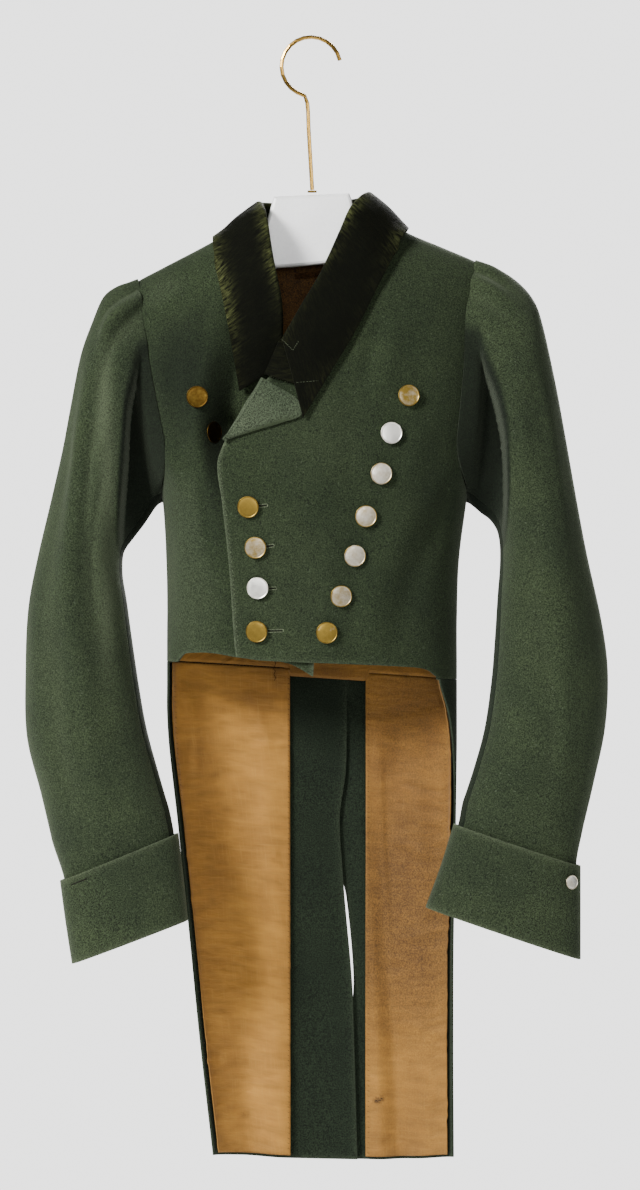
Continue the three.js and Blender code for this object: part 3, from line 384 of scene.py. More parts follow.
def addRelief(tree, shader, height, strength, distance, under=None):
    values = {"Strength": strength, "Distance": distance, "Height": height}
    if under:
        values["Normal"] = under
    relief = addNode(tree, "ShaderNodeBump", values).outputs["Normal"]
    if shader:
        tree.links.new(relief, shader.inputs["Normal"])
    return relief


def makeNapGroup():
    # the felted surface: a fine mottled grain, rare pale specks and slow blotches of wear
    group, given, out = newGroup(
        "feltedNap",
        [("Grain Scale", "NodeSocketFloat", 820.0), ("Blotch Scale", "NodeSocketFloat", 14.0)],
        [("Grain", "NodeSocketFloat"), ("Specks", "NodeSocketFloat"), ("Blotches", "NodeSocketFloat")],
    )
    place = addNode(group, "ShaderNodeTexCoord").outputs["Object"]
    grain = noise(group, place, given.outputs["Grain Scale"], 2.0, 0.6)
    specks = noise(group, place, maths(group, "MULTIPLY", given.outputs["Grain Scale"], 0.55), 1.0, 0.5)
    blotches = noise(group, place, given.outputs["Blotch Scale"], 5.0, 0.6)
    group.links.new(spread(group, grain, 0.33, 0.67), out.inputs["Grain"])
    group.links.new(spread(group, specks, 0.66, 0.76), out.inputs["Specks"])
    group.links.new(spread(group, blotches, 0.34, 0.68), out.inputs["Blotches"])
    return group


def makeWeaveGroup():
    # plain-woven threads that follow the cloth's own grain, with thick ones here and there
    group, given, out = newGroup(
        "plainWeave",
        [("Threads", "NodeSocketFloat", 1100.0)],
        [("Height", "NodeSocketFloat"), ("Slubs", "NodeSocketFloat"), ("Crumple", "NodeSocketFloat")],
    )
    place = addNode(group, "ShaderNodeUVMap", uv_map="cloth").outputs["UV"]
    parts = addNode(group, "ShaderNodeSeparateXYZ", {"Vector": place})
    turns = maths(group, "MULTIPLY", given.outputs["Threads"], math.pi)
    warp = maths(group, "SINE", maths(group, "MULTIPLY", parts.outputs["X"], turns))
    weft = maths(group, "SINE", maths(group, "MULTIPLY", parts.outputs["Y"], turns))
    height = maths(group, "MULTIPLY_ADD", maths(group, "MULTIPLY", warp, weft), 0.5, 0.5)
    along, up = stretched(group, place, 26.0, 760.0), stretched(group, place, 760.0, 34.0)
    slubs = maths(group, "MAXIMUM", noise(group, along, 1.0, 2.0), noise(group, up, 1.0, 2.0))
    crumple = noise(group, stretched(group, place, 30.0, 110.0), 1.0, 4.0)
    group.links.new(height, out.inputs["Height"])
    group.links.new(spread(group, slubs, 0.5, 0.75), out.inputs["Slubs"])
    group.links.new(crumple, out.inputs["Crumple"])
    return group


napGroup = makeNapGroup()
weaveGroup = makeWeaveGroup()


def startMaterial(name, values):
    material = bpy.data.materials.new(name)
    material.use_nodes = True
    tree = material.node_tree
    shader = tree.nodes["Principled BSDF"]
    for label, value in values.items():
        shader.inputs[label].default_value = value
    return material, tree, shader


def woolCloth(name, colours, sheen=0.1):
    # wear runs from painted shade at -1, the dark kept colour, through the usual tone at 0, to cloth rubbed
    # pale at 1; the pale end is also used as painted light
    colours = {"kept": (0.0034, 0.0056, 0.0028, 1), **colours}
    material, tree, shader = startMaterial(name, {
        "Roughness": 0.95, "Sheen Weight": sheen, "Sheen Roughness": 0.5, "Sheen Tint": (0.80, 0.92, 0.66, 1),
        "Specular IOR Level": 0.15,
    })
    nap = addNode(tree, "ShaderNodeGroup", node_tree=napGroup)
    wear = wearOf(tree)
    tone = mixColours(tree, nap.outputs["Blotches"], colours["deep"], colours["main"])
    grain = maths(tree, "MULTIPLY_ADD", nap.outputs["Grain"], 1.6, 0.25)
    tone = mixColours(tree, 1.0, tone, grain, "MULTIPLY")
    tone = mixColours(tree, maths(tree, "MULTIPLY", nap.outputs["Specks"], 0.45), tone, colours["speck"])
    worn = maths(tree, "MULTIPLY", wear, maths(tree, "ADD", nap.outputs["Grain"], 0.4), clamp=True)
    tone = mixColours(tree, worn, tone, colours["worn"])
    # painted shade: wear below 0 takes the tone towards the dark kept colour
    paintedShade = maths(tree, "MULTIPLY", wear, -1, clamp=True)
    tone = mixColours(tree, paintedShade, tone, mixColours(tree, 1.0, colours["kept"], grain, "MULTIPLY"))
    tree.links.new(tone, shader.inputs["Base Color"])
    addRelief(tree, shader, nap.outputs["Grain"], 0.5, 0.0006)
    return material


def velvetPile(name, colours):
    # the pile is rubbed away in short streaks that run across the collar's folds and edges
    material, tree, shader = startMaterial(name, {
        "Roughness": 0.85, "Sheen Weight": 0.02, "Sheen Roughness": 0.35, "Sheen Tint": (0.75, 0.8, 0.5, 1),
        "Specular IOR Level": 0.08,
    })
    nap = addNode(tree, "ShaderNodeGroup", {"Grain Scale": 1300.0, "Blotch Scale": 45.0}, node_tree=napGroup)
    wear = wearOf(tree)
    place = addNode(tree, "ShaderNodeUVMap", uv_map="cloth").outputs["UV"]
    streaks = spread(tree, noise(tree, stretched(tree, place, 85.0, 450.0), 1.0, 4.0, 0.7), 0.42, 0.66)
    rubbed = maths(tree, "MULTIPLY", streaks, maths(tree, "MULTIPLY_ADD", nap.outputs["Blotches"], 0.9, 0.2))
    tone = mixColours(tree, nap.outputs["Grain"], colours["deep"], colours["main"])
    tone = mixColours(tree, maths(tree, "MULTIPLY", wear, rubbed, clamp=True), tone, colours["worn"])
    tree.links.new(tone, shader.inputs["Base Color"])
    addRelief(tree, shader, nap.outputs["Grain"], 0.5, 0.0007)
    return material


def linenWeave(name, colours):
    material, tree, shader = startMaterial(name, {
        "Roughness": 0.75, "Sheen Weight": 0.08, "Specular IOR Level": 0.25,
    })
    weave = addNode(tree, "ShaderNodeGroup", node_tree=weaveGroup)
    nap = addNode(tree, "ShaderNodeGroup", {"Grain Scale": 700.0, "Blotch Scale": 11.0}, node_tree=napGroup)
    wear = wearOf(tree)
    tone = mixColours(tree, nap.outputs["Blotches"], colours["deep"], colours["main"])
    tone = mixColours(tree, maths(tree, "MULTIPLY", weave.outputs["Slubs"], 0.28), tone, colours["speck"])
    crumple = maths(tree, "MULTIPLY_ADD", weave.outputs["Crumple"], 0.9, 0.55)
    tone = mixColours(tree, 1.0, tone, crumple, "MULTIPLY")
    patchy = maths(tree, "MULTIPLY_ADD", nap.outputs["Grain"], 0.5, 0.6)
    tone = mixColours(tree, maths(tree, "MULTIPLY", wear, patchy, clamp=True), tone, colours["worn"])
    tree.links.new(tone, shader.inputs["Base Color"])
    threadRelief = addRelief(tree, None, weave.outputs["Height"], 0.35, 0.0003)
    addRelief(tree, shader, weave.outputs["Crumple"], 0.55, 0.0035, threadRelief)
    return material


def giltBrass(name, colours, roughness):
    # wear sets the gilding's tone: tarnished at 0, gold at a half and bright at 1; on the buttons the
    # near-white bright end is a painted highlight and the dark low end stands for painted shade
    material, tree, shader = startMaterial(name, {"Metallic": 1.0})
    nap = addNode(tree, "ShaderNodeGroup", {"Grain Scale": 700.0, "Blotch Scale": 160.0}, node_tree=napGroup)
    wear = wearOf(tree)
    patchy = maths(tree, "MULTIPLY_ADD", nap.outputs["Blotches"], 0.2, -0.1)
    polishAndHighlight = maths(tree, "ADD", wear, patchy, clamp=True)
    tone = mixColours(tree, spread(tree, polishAndHighlight, 0.0, 0.5), colours["deep"], colours["main"])
    tone = mixColours(tree, spread(tree, polishAndHighlight, 0.5, 1.0), tone, colours["bright"])
    tree.links.new(tone, shader.inputs["Base Color"])
    dull = maths(tree, "MULTIPLY_ADD", nap.outputs["Blotches"], -0.1, roughness + 0.08)
    tree.links.new(dull, shader.inputs["Roughness"])
    addRelief(tree, shader, nap.outputs["Grain"], 0.06, 0.0002)
    return material


def mouldedPlastic(name, colours):
    material, tree, shader = startMaterial(name, {"Coat Weight": 0.15})
    nap = addNode(tree, "ShaderNodeGroup", {"Grain Scale": 260.0, "Blotch Scale": 25.0}, node_tree=napGroup)
    tone = mixColours(tree, nap.outputs["Blotches"], colours["deep"], colours["main"])
    tree.links.new(tone, shader.inputs["Base Color"])
    tree.links.new(maths(tree, "MULTIPLY_ADD", nap.outputs["Grain"], 0.1, 0.24), shader.inputs["Roughness"])
    return material


finishes = {
    "front": woolCloth("woolFront", {
        "deep": (0.0115, 0.0180, 0.0078, 1), "main": (0.0175, 0.0260, 0.0110, 1),
        "speck": (0.055, 0.072, 0.042, 1), "worn": (0.085, 0.104, 0.064, 1),
    }),
    # a lighter copy of the same wool, painted light, for the upper sleeves and the cuffs
    "sleeve": woolCloth("woolSleeveLit", {
        "deep": (0.0145, 0.0215, 0.0100, 1), "main": (0.0220, 0.0315, 0.0140, 1),
        "speck": (0.065, 0.082, 0.050, 1), "worn": (0.060, 0.075, 0.042, 1),
    }, 0.14),
    # a lighter copy of the same wool, painted light where the lapel faces up; its worn colour is darker,
    # painted shade towards its lower edge
    "lapel": woolCloth("woolLapelLit", {
        "deep": (0.030, 0.041, 0.023, 1), "main": (0.048, 0.061, 0.036, 1),
        "speck": (0.095, 0.112, 0.074, 1), "worn": (0.020, 0.029, 0.0125, 1),
    }),
    # a darker copy of the same wool, painted shade, for the tails and the under-sleeves
    "tail": woolCloth("woolShaded", {
        "deep": (0.0060, 0.0098, 0.0052, 1), "main": (0.0088, 0.0138, 0.0070, 1),
        "speck": (0.024, 0.034, 0.020, 1), "worn": (0.038, 0.050, 0.030, 1),
    }, 0.05),
    "velvet": velvetPile("velvetOlive", {
        "deep": (0.0008, 0.0010, 0.0003, 1), "main": (0.0022, 0.0027, 0.0008, 1),
        "worn": (0.078, 0.088, 0.030, 1),
    }),
    # the worn colour is a dark brown, used for stains and for painted shade on the linings
    "linen": linenWeave("linenGold", {
        "deep": (0.215, 0.097, 0.0155, 1), "main": (0.340, 0.160, 0.0250, 1),
        "speck": (0.370, 0.205, 0.048, 1), "worn": (0.016, 0.0065, 0.0020, 1),
    }),
    "brass": giltBrass("brassGilt", {
        "deep": (0.06, 0.032, 0.006, 1), "main": (0.30, 0.20, 0.040, 1), "bright": (1.0, 0.98, 0.90, 1),
    }, 0.36),
    "wire": giltBrass("brassWire", {
        "deep": (0.50, 0.30, 0.07, 1), "main": (0.80, 0.52, 0.16, 1), "bright": (0.85, 0.62, 0.26, 1),
    }, 0.22),
    "hanger": mouldedPlastic("plasticWhite", {"deep": (0.90, 0.90, 0.88, 1), "main": (0.95, 0.95, 0.94, 1)}),
    "paleThread": woolCloth("threadPale", {
        "deep": (0.070, 0.085, 0.050, 1), "main": (0.110, 0.128, 0.078, 1),
        "speck": (0.180, 0.200, 0.130, 1), "worn": (0.110, 0.128, 0.078, 1),
    }),
    "darkThread": woolCloth("threadDark", {
        "deep": (0.004, 0.004, 0.002, 1), "main": (0.006, 0.006, 0.003, 1),
        "speck": (0.015, 0.015, 0.009, 1), "worn": (0.010, 0.010, 0.006, 1),
    }),
    "brownThread": woolCloth("threadBrown", {
        "deep": (0.034, 0.015, 0.004, 1), "main": (0.055, 0.025, 0.007, 1),
        "speck": (0.090, 0.046, 0.016, 1), "worn": (0.055, 0.025, 0.007, 1),
    }),
}
print("finishes made")


# fronts and back

panels = {
    "sideStart": 8,  # degrees before the armhole's edge where the columns begin to widen
    "plainShare": 8 / 13,  # of the columns, before they widen under the arm
    "frontColumns": 92,
    "backColumns": 56,
    "seamTurn": 0.16,
    "centreTurn": 0.011,
    # a fold runs from x, z to x, z, with a width, a depth and how far its middle bows
    "leftFolds": [
        (70, -280, 50, -352, 9, -3.0), (86, -285, 66, -370, 12, 2.2), (110, -448, 50, -622, 17, 3.4, -8),
        (128, -470, 84, -628, 13, -2.6, -6), (112, -380, 96, -450, 12, 2.0), (140, -440, 118, -520, 9, -2.2),
        (20, -420, -30, -520, 15, 1.2), (-12, -470, -6, -600, 16, -1.0), (24, -540, 18, -628, 12, 0.9),
        (100, -300, 120, -380, 10, -1.0), (-60, -425, -20, -455, 10, -1.2),
    ],
    "rightFolds": [
        (-140, -300, -128, -440, 11, -1.8), (-150, -400, -120, -470, 8, 1.6),
        (-128, -470, -124, -612, 14, 1.8), (-106, -440, -100, -610, 10, -1.4),
        (-140, -480, -138, -600, 7, -1.2), (-112, -250, -120, -330, 11, 1.4),
    ],
    # painted light and shade: a patch is at x, z, with two radii and a strength; the worn ones paint the
    # cloth lighter and the kept ones darker
    "leftPaintedLight": {"worn": [(-30, -560, 60, 90, 0.05), (0, -400, 60, 50, 0.04)],
                  "kept": [(120, -520, 40, 120, 0.2)]},
    "rightPaintedLight": {"worn": [(-128, -535, 34, 110, 0.16), (-136, -262, 28, 24, 0.2)],
                   "kept": [(-124, -335, 36, 70, 0.75), (-92, -410, 16, 90, 0.6)]},
    "backFolds": [
        (-100, -230, -60, -420, 16, -1.8), (100, -230, 60, -420, 16, -1.8), (-30, -420, -20, -600, 14, 1.4),
        (34, -430, 18, -610, 14, 1.4), (-90, -440, -60, -600, 12, -1.2), (92, -450, 64, -600, 12, -1.2),
        (0, -200, -6, -330, 18, 1.0), (-120, -360, -70, -480, 10, 1.4), (120, -350, 74, -470, 10, 1.4),
    ],
}


def panelHeights(top, hem):
    turn = np.linspace(0, 1, 16) * math.pi / 2
    roll = top - body["shoulderRoll"] * (1 - np.clip(np.cos(turn), 0, 1) ** (2 / body["rollPower"]))
    scoopTop = body["armholeBottom"] + body["armholeScoop"]
    middle = np.linspace(roll[-1], scoopTop, 22)[1:]
    scoop = scoopTop - body["armholeScoop"] * np.sin(np.radians(np.linspace(0, 90, 20)[1:]))
    below = np.linspace(body["armholeBottom"], hem, 46)[1:]
    return np.concatenate([roll, middle, scoop, below])


def rowAngles(inner, outer, armhole, onFront, part):
    if not onFront:
        return mix(inner, outer, part)
    turn = armhole - np.sign(armhole) * panels["sideStart"]
    share = panels["plainShare"]
    beyond = mix(turn, outer, (part - share) / (1 - share))
    return np.where(part < share, mix(inner, turn, part / share), beyond)


def bodyPanel(name, half, onFront, innerAngle, hemAt, surface, columns, folds, wear, paintedLight=None):
    armhole = half * (body["armholeAngle"] if onFront else 180 - body["armholeAngle"])
    armholeTop = float(topHeight(armhole, onFront))
    waist = body["waistHeight"]
    heights = panelHeights(armholeTop, float(hemAt(half * seamAngle(waist))))
    innerTop = float(topHeight(innerAngle(body["neckLine"]), onFront))
    innerHem = float(hemAt(innerAngle(waist)))
    seamSide = -panels["seamTurn"] if onFront else panels["seamTurn"]
    hemOuter = half * (seamAngle(waist) + seamSide)
    part = np.linspace(0, 1, columns)
    tops = topHeight(rowAngles(innerAngle(innerTop), armhole, armhole, onFront, part), onFront)
    hems = hemAt(rowAngles(innerAngle(innerHem), hemOuter, armhole, onFront, part))
    v = ((armholeTop - heights) / (armholeTop - heights[-1]))[:, None]
    height = heights[:, None]
    outer = half * (outerEdge(height, onFront) + np.where(height < body["armholeBottom"], seamSide, 0))
    inner = innerAngle(mix(innerTop, innerHem, v))
    angle = rowAngles(inner, outer, armhole, onFront, part[None])
    grid = surface(angle, mix(tops[None], hems[None], v))
    ridge = grid[0, :, 2] > shoulderHeight(grid[0, :, 0]) - 0.05
    grid[0, ridge, 1] = (-0.5 if onFront else 0.5) * body["seamGap"]
    side = -half if onFront else half
    grid = grid + gridNormals(grid, side) * foldRelief(grid, folds)[..., None]
    worn = edgeWear(grid, **wear)
    # painted light and shade added to the edge wear: worn patches lighten, kept patches darken
    if paintedLight:
        worn = worn + stainAndPaintedLightAmount(grid, paintedLight["worn"]) - stainAndPaintedLightAmount(grid, paintedLight["kept"])
    return clothPiece(name, grid, side, finishes["front"], body["cloth"], worn)


def frontHem(table, angle):
    x = bodyPoint(angle, body["waistHeight"])[..., 0]
    away = softStep(np.abs(angle), 58, 66)
    return mix(read(table, "x", np.clip(x, -146, 146), "z"), waistAt(x), away)


def bodyHem(angle):
    return waistAt(bodyPoint(angle, body["waistHeight"])[..., 0])


panelPieces = {}
for word, half, table, hem, surface in (
    ("left", 1, "leftEdge", "leftHem", leftFrontSurface),
    ("right", -1, "rightEdge", "rightHem", rightFrontSurface),
):
    panelPieces["front_" + word] = bodyPanel(
        "front_" + word, half, True,
        lambda z, table=table: frontAngle(read(fronts[table], "z", z, "x"), z),
        lambda angle, hem=hem: frontHem(fronts[hem], angle),
        surface, panels["frontColumns"], panels[word + "Folds"], {"left": 0.5, "bottom": 0.2, "reach": 2.2},
        panels[word + "PaintedLight"],
    )
    panelPieces["back_" + word] = bodyPanel(
        "back_" + word, half, False,
        lambda z, half=half: half * (180 - panels["centreTurn"]) + 0 * np.asarray(z, float),
        bodyHem, bodyPoint, panels["backColumns"], panels["backFolds"], {"left": 0.12, "reach": 3},
    )
print("body panels made")

lining = {
    "thickness": 1.0,
    "lift": -(2 * body["cloth"] + body["layerGap"]),
    "chestAngle": 54,
    "waistAngle": 76,
    "hem": 8,
}


def makeBodyLining():
    # below the armholes it widens towards the sides, and it hangs lowest over the vent
    share = np.linspace(-1, 1, 130)[None]
    part = np.linspace(0, 1, 110)[:, None]
    down = mix(body["neckLine"], body["waistHeight"], part)
    angle = 180 + share * mix(lining["chestAngle"], lining["waistAngle"], softStep(-down, 480, 600))
    x = bodyPoint(angle, body["waistHeight"])[..., 0]
    top = np.minimum(topHeight(angle, False), shoulderHeight(x) - 16) - 5
    middle = softStep(x, -26, -22) * (1 - softStep(x, 57, 61))
    z = mix(top, waistAt(x) - mix(-0.4, lining["hem"], middle), part)
    grid = bodyPoint(angle, z, lining["lift"])
    # painted shade: darker towards the top, inside the neck, and along the lower edge at the waist
    soilAndShade = 0.9 * softStep(grid[..., 2], -440, -240) + 0.45 * (1 - softStep(grid[..., 2], -640, -600))
    return clothPiece("body_lining", grid, -1, finishes["linen"], lining["thickness"], soilAndShade, edge=0)


bodyLining = makeBodyLining()


# tails

skirts = {
    "sections": {
        "z": [-618, -645, -672, -706, -782, -880, -1000, -1127],
        "right": [144, 144, 144, 142, 134, 125, 114, 100],
        "left": [146, 146, 146, 146, 145, 144, 145, 147],
        "back": [45, 45, 45, 45, 46, 47, 48, 48],
        "rightEdge": [82, 83, 86, 89, 94, 99, 102, 104],
        "leftEdge": [57, 59, 68, 76, 87, 96, 101, 104],
    },
    "vent": {
        "z": [-618, -690, -735, -780, -835, -862, -940, -985, -1127],
        "x": [36, 31, 30, 29, 32, 34, 41, 43, 47],
        "lap": [-0.1, -0.1, 6, 6, 2, -1.8, -1.8, 2, 4],
        "under": [0, 5, 5, 0, 0, 0, 0, 0, 0],  # how far the right tail reaches beneath the left one
    },
    "hems": {"x": [-100, -22, 47, 90, 147], "z": [-1117.5, -1123, -1124.5, -1124, -1119]},
    "uprightFolds": [(66, 90, 13, 8), (104, 116, 15, -4), (-98, -62, 17, 5), (-46, -30, 15, -4)],
    "innerEdge": {"right": -22, "left": 57},
    "liningLift": -5.1,
    "creases": {  # the linings' own, besides loose ones
        "right": [(-128, -640, -118, -760, 6, 2.0, 5), (-60, -650, -40, -720, 6, 1.6),
                  (-100, -700, -60, -708, 4, 1.4), (-96, -840, -40, -850, 4, 1.2),
                  (-90, -955, -36, -948, 4, 1.3), (-88, -1040, -30, -1052, 4, 1.2)],
        "left": [(67, -650, 92, -1010, 9, 4.2, -5), (86, -660, 112, -900, 8, -2.4, -5),
                 (70, -700, 120, -716, 4, 1.5), (78, -800, 130, -822, 5, 1.6),
                 (84, -905, 138, -890, 5, 1.5), (90, -985, 142, -1000, 4, 1.4)],
    },
    # the small round spots are stains; the long and broad patches are painted shade along folds, under the
    # waist, under the fronts and over the wearer's left lining
    "stainsAndPaintedLight": {
        "right": [(-66, -1079, 7, 3.5, 0.45), (-118, -650, 22, 10, 0.2), (-64, -660, 30, 12, 0.16),
                  (-30, -640, 12, 14, 0.3), (-90, -632, 50, 5, 0.2), (-46, -860, 8, 20, 0.14),
                  (-104, -720, 14, 30, 0.16)],
        "left": [(67, -1065, 5.5, 4, 1.0), (71, -1063, 3, 3, 1.0), (84, -655, 20, 14, 0.4),
                 (118, -665, 18, 16, 0.42), (70, -760, 9, 60, 0.28), (64, -690, 8, 34, 0.4),
                 (76, -880, 8, 80, 0.24), (136, -860, 10, 60, 0.25), (104, -690, 80, 120, 0.6),
                 (104, -880, 90, 170, 0.78), (110, -1070, 90, 100, 0.36)],
    },
}


def skirtPoint(half, angle, z, lift=0.0):
    s, c = np.sin(np.radians(angle)), np.cos(np.radians(angle))
    reach = read(skirts["sections"], "z", z, "left" if half > 0 else "right") + lift
    depth = np.where(c > 0, 66, read(skirts["sections"], "z", z, "back")) + lift
    x = np.sign(s) * reach * np.abs(s) ** body["roundPower"]
    y = -np.sign(c) * depth * np.abs(c) ** body["roundPower"]
    down = np.clip((body["waistHeight"] - z) / (body["waistHeight"] - body["skirtHem"]), 0, 1)
    settled = softStep(-z, 640, 800)
    for topX, hemX, width, bow in skirts["uprightFolds"]:
        y = y + bow * settled * bump(x - mix(topX, hemX, down), width) * softStep(-c, 0, 0.4)
    if half > 0:
        ventX = read(skirts["vent"], "z", z, "x")
        lap = softStep(-z, 630, 662) * softStep(-x, -ventX - 26, -ventX - 6) * (c < 0)
        y = y + (body["cloth"] + 1.6) * lap
    return np.stack([x, y, z + 0 * x], -1)


def skirtAngle(half, x, z):
    reach = read(skirts["sections"], "z", z, "left" if half > 0 else "right")
    turn = np.degrees(np.arcsin((np.abs(x) / reach) ** (1 / body["roundPower"])))
    return half * (180 - np.sign(x) * half * turn)


def skirtGrid(half, startAngle, endX, lift, topGap, hemGap, rows, columns):
    part = np.linspace(0, 1, columns)[None]
    v = np.linspace(0, 1, rows)[:, None]
    rough = mix(waistAt(0), body["skirtHem"], v) + 0 * part
    angle = mix(startAngle(rough), skirtAngle(half, endX(rough), rough), part)
    x = skirtPoint(half, angle, rough, lift)[..., 0]
    z = mix(waistAt(x) - topGap, read(skirts["hems"], "x", np.clip(x, -100, 147), "z") + hemGap, v)
    return skirtPoint(half, mix(startAngle(z), skirtAngle(half, endX(z), z), part), z, lift)


tailPieces = {}
for word, half in (("left", 1), ("right", -1)):
    edge = lambda z, half=half, word=word: half * read(skirts["sections"], "z", z, word + "Edge")
    ventEdge = lambda z, half=half: (read(skirts["vent"], "z", z, "x") + (
        -read(skirts["vent"], "z", z, "lap") if half > 0 else read(skirts["vent"], "z", z, "under")))
    grid = skirtGrid(half, edge, ventEdge, 0, body["seamGap"] + 0.1, 0, 150, 70)
    turnedIn = [
        skirtPoint(half, mix(edge(z), skirtAngle(half, ventEdge(z), z), np.linspace(0, 1, 70)), z, lift)
        for z, lift in ((grid[0, :, 2] + 6, -2.9), (grid[0, :, 2] + 0.6, -2.9))]
    grid = np.concatenate([np.array(turnedIn), grid])
    wear = edgeWear(grid, left=0.4, right=0.4, bottom=0.5, reach=3)
    tailPieces["tail_" + word] = clothPiece(
        "tail_" + word, grid, -half, finishes["tail"], body["cloth"], wear)
    grid = skirtGrid(
        half, lambda z, edge=edge, half=half: edge(z) + half * 3,
        lambda z, word=word: skirts["innerEdge"][word] + 0 * z,
        skirts["liningLift"], 0.2, 3, 240, 90)
    low, high = ((-140, -1110), (-30, -640)) if half < 0 else ((55, -1110), (135, -650))
    loose = looseCreases(46, low, high, (0, 16), (2.2, 4.5), (0.35, 0.95), 11 + half)
    creases = skirts["creases"][word] + loose
    grid = grid + gridNormals(grid, half) * foldRelief(grid, creases)[..., None]
    # stains, painted shade in broad patches, and darker along the lining's edges
    soilAndShade = np.maximum(stainAndPaintedLightAmount(grid, skirts["stainsAndPaintedLight"][word]), edgeWear(grid, 0.3, 0.3, 0.45, 0.3, 4))
    tailPieces["tail_lining_" + word] = clothPiece(
        "tail_lining_" + word, grid, -half, finishes["linen"], lining["thickness"], soilAndShade, edge=0)
print("tails made")


# sleeves

sleeves = {
    "right": {
        "outX": [-181, -192, -206, -217, -228, -238, -246, -257, -271, -280, -282.5, -281, -267, -255],
        "outZ": [-247, -251, -261, -286, -318, -369, -412, -461, -521, -571, -631, -696, -752, -802],
        "inX": [-153, -157, -163, -169, -179, -187, -190, -190, -186, -181, -174, -166, -154, -143],
        "inZ": [-463, -467, -476, -485, -498, -509, -519, -538, -562, -598, -645, -689, -733, -770],
    },
    "left": {
        "outX": [172, 184, 204, 220, 229, 242, 252, 262, 273, 288, 294, 291, 280, 269],
        "outZ": [-226, -231, -244, -262, -286, -345, -399, -456, -515, -584, -634, -688, -740, -786],
        "inX": [160, 165, 172, 180, 187, 190, 191, 190.5, 188.5, 185.5, 182, 175, 164, 153],
        "inZ": [-463, -467, -473, -479, -489, -500, -513, -532, -556, -602, -643, -690, -730, -763],
    },
    "y": [-3, -4, -5, -6, -7, -8, -9, -10, -12, -13, -15, -20, -24, -28],
    "front": [42, 46, 50, 52, 53, 53, 53, 53, 53, 52, 49, 46, 41, 37],
    "back": [37, 39, 41, 43, 45, 46, 47, 47, 47, 47, 46, 40, 34, 28],
    "crease": [0.3, 0.4, 0.5, 0.62, 0.76, 0.88, 0.95, 1, 1, 1, 1, 1, 1, 1],
    "drop": [0.12, 0.42, 0.6, 0.69, 0.62, 0.37, 0, 0, 0, 0, 0, 0, 0, 0],
    "seams": (158, 286),  # where the under-sleeve begins and ends, in degrees round
    "roundness": 0.86,
    "creaseWidth": 0.09,
    # pale and dark bands along the sleeves: on the wearer's right a pale band down a ridge, rubbed nap with a
    # painted highlight; on the wearer's left a slight darkening, painted shade
    "rubbed": {"right": [(-206, -290, -203, -660, 8, 0.6, 3)],
               "left": [(222, -280, 262, -640, 30, -0.12, 3)]},
    "paintedShade": {"rings": 7, "least": 0.35, "strength": 2.6},  # painted shade in the hollow beside the armhole
    "partTurn": 0.2,
    "cuffInset": 4.6,
    "endAbove": 3,
}
cuffs = {
    "right": {"outX": [-247.5, -242, -235.5], "outZ": [-839.5, -880, -922],
              "inX": [-134, -129, -124.5], "inZ": [-793, -836, -879.5]},
    "left": {"outX": [266, 266, 266], "outZ": [-825, -870, -918],
             "inX": [144, 131, 116], "inZ": [-784, -826, -867]},
    "y": [-31, -32, -32],
    "front": [34, 33, 32],
    "back": [25, 24, 23],
    "roundness": [0.64, 0.62, 0.6],
}
# each fold: degrees round at its top and foot, width, depth, and the rings that it runs between
sleeveFolds = {
    "right": [
        (34, 44, 6, -3.4, 0, 4.6), (23, 29, 6, 2.2, 0, 4.4), (46, 60, 7, 2.4, 0, 5), (8, 8, 6, -1.5, 0, 3.6),
        (-10, -10, 7, 1.8, 0, 4), (-27, -30, 6, -2.2, 0, 4), (60, 124, 15, 2.6, 2.6, 12.5),
        (44, 97, 13, -2.8, 3.4, 13.5), (30, 66, 16, 1.8, 4.5, 14.5), (-50, -62, 14, -2.4, 4, 11),
    ],
    "left": [
        (24, 27, 5, 1.9, 0, 3.2), (34, 38, 5, -2.0, 0, 3.6), (45, 50, 5, 1.6, 0, 3.2),
        (12, 12, 5, -1.2, 0, 3), (-12, -12, 7, 1.6, 0, 4), (-27, -30, 6, -2.0, 0, 4),
        (76, 112, 16, 1.5, 4, 12), (48, 78, 15, -1.5, 4.5, 13), (-50, -62, 14, -2.4, 4, 11),
    ],
}
# smaller ones, which only the cloth's surface has
sleeveCreases = {
    "right": [
        (66, 66, 4, -1.1, 0, 3.4), (55, 58, 3.5, 0.9, 0, 3), (80, 96, 8, -1.0, 3, 9),
        (100, 110, 7, 0.9, 5, 10.5), (70, 58, 9, 0.9, 9.5, 14.5), (96, 88, 8, -0.9, 10, 14.8),
        (-78, -78, 9, 1.0, 3, 12),
    ],
    "left": [
        (18, 18, 3, -0.9, 0, 2.8), (55, 57, 4, -1.0, 0, 3), (66, 68, 4, 0.8, 0, 3),
        (90, 84, 8, -0.9, 2.5, 8), (62, 62, 8, 0.9, 4, 10), (98, 70, 10, 1.1, 9, 14.5),
        (84, 58, 9, -1.0, 9.5, 14.8), (-78, -78, 9, 1.0, 3, 12),
    ],
}


def stationRing(turn, out, inner, y, front, back, crease=1.0, drop=0.0, roundness=None, inset=0.0):
    # a ring of points: 0 degrees is the sleeve's outer side, 90 its front, 180 its inner side
    c, s = np.cos(np.radians(turn)), np.sin(np.radians(turn))
    length = math.hypot(inner[0] - out[0], inner[1] - out[1])
    part = 0.5 - (c / 2) * (1 - 2 * inset / length)
    kept = np.where(s > 0, 1 - drop * softStep(part, crease, crease + sleeves["creaseWidth"]), 1)
    depth = (np.where(s > 0, front, back) - inset) * kept
    bulge = np.sign(s) * depth * np.abs(s) ** (roundness or sleeves["roundness"])
    return np.stack([mix(out[0], inner[0], part), y - bulge, mix(out[1], inner[1], part)], -1)


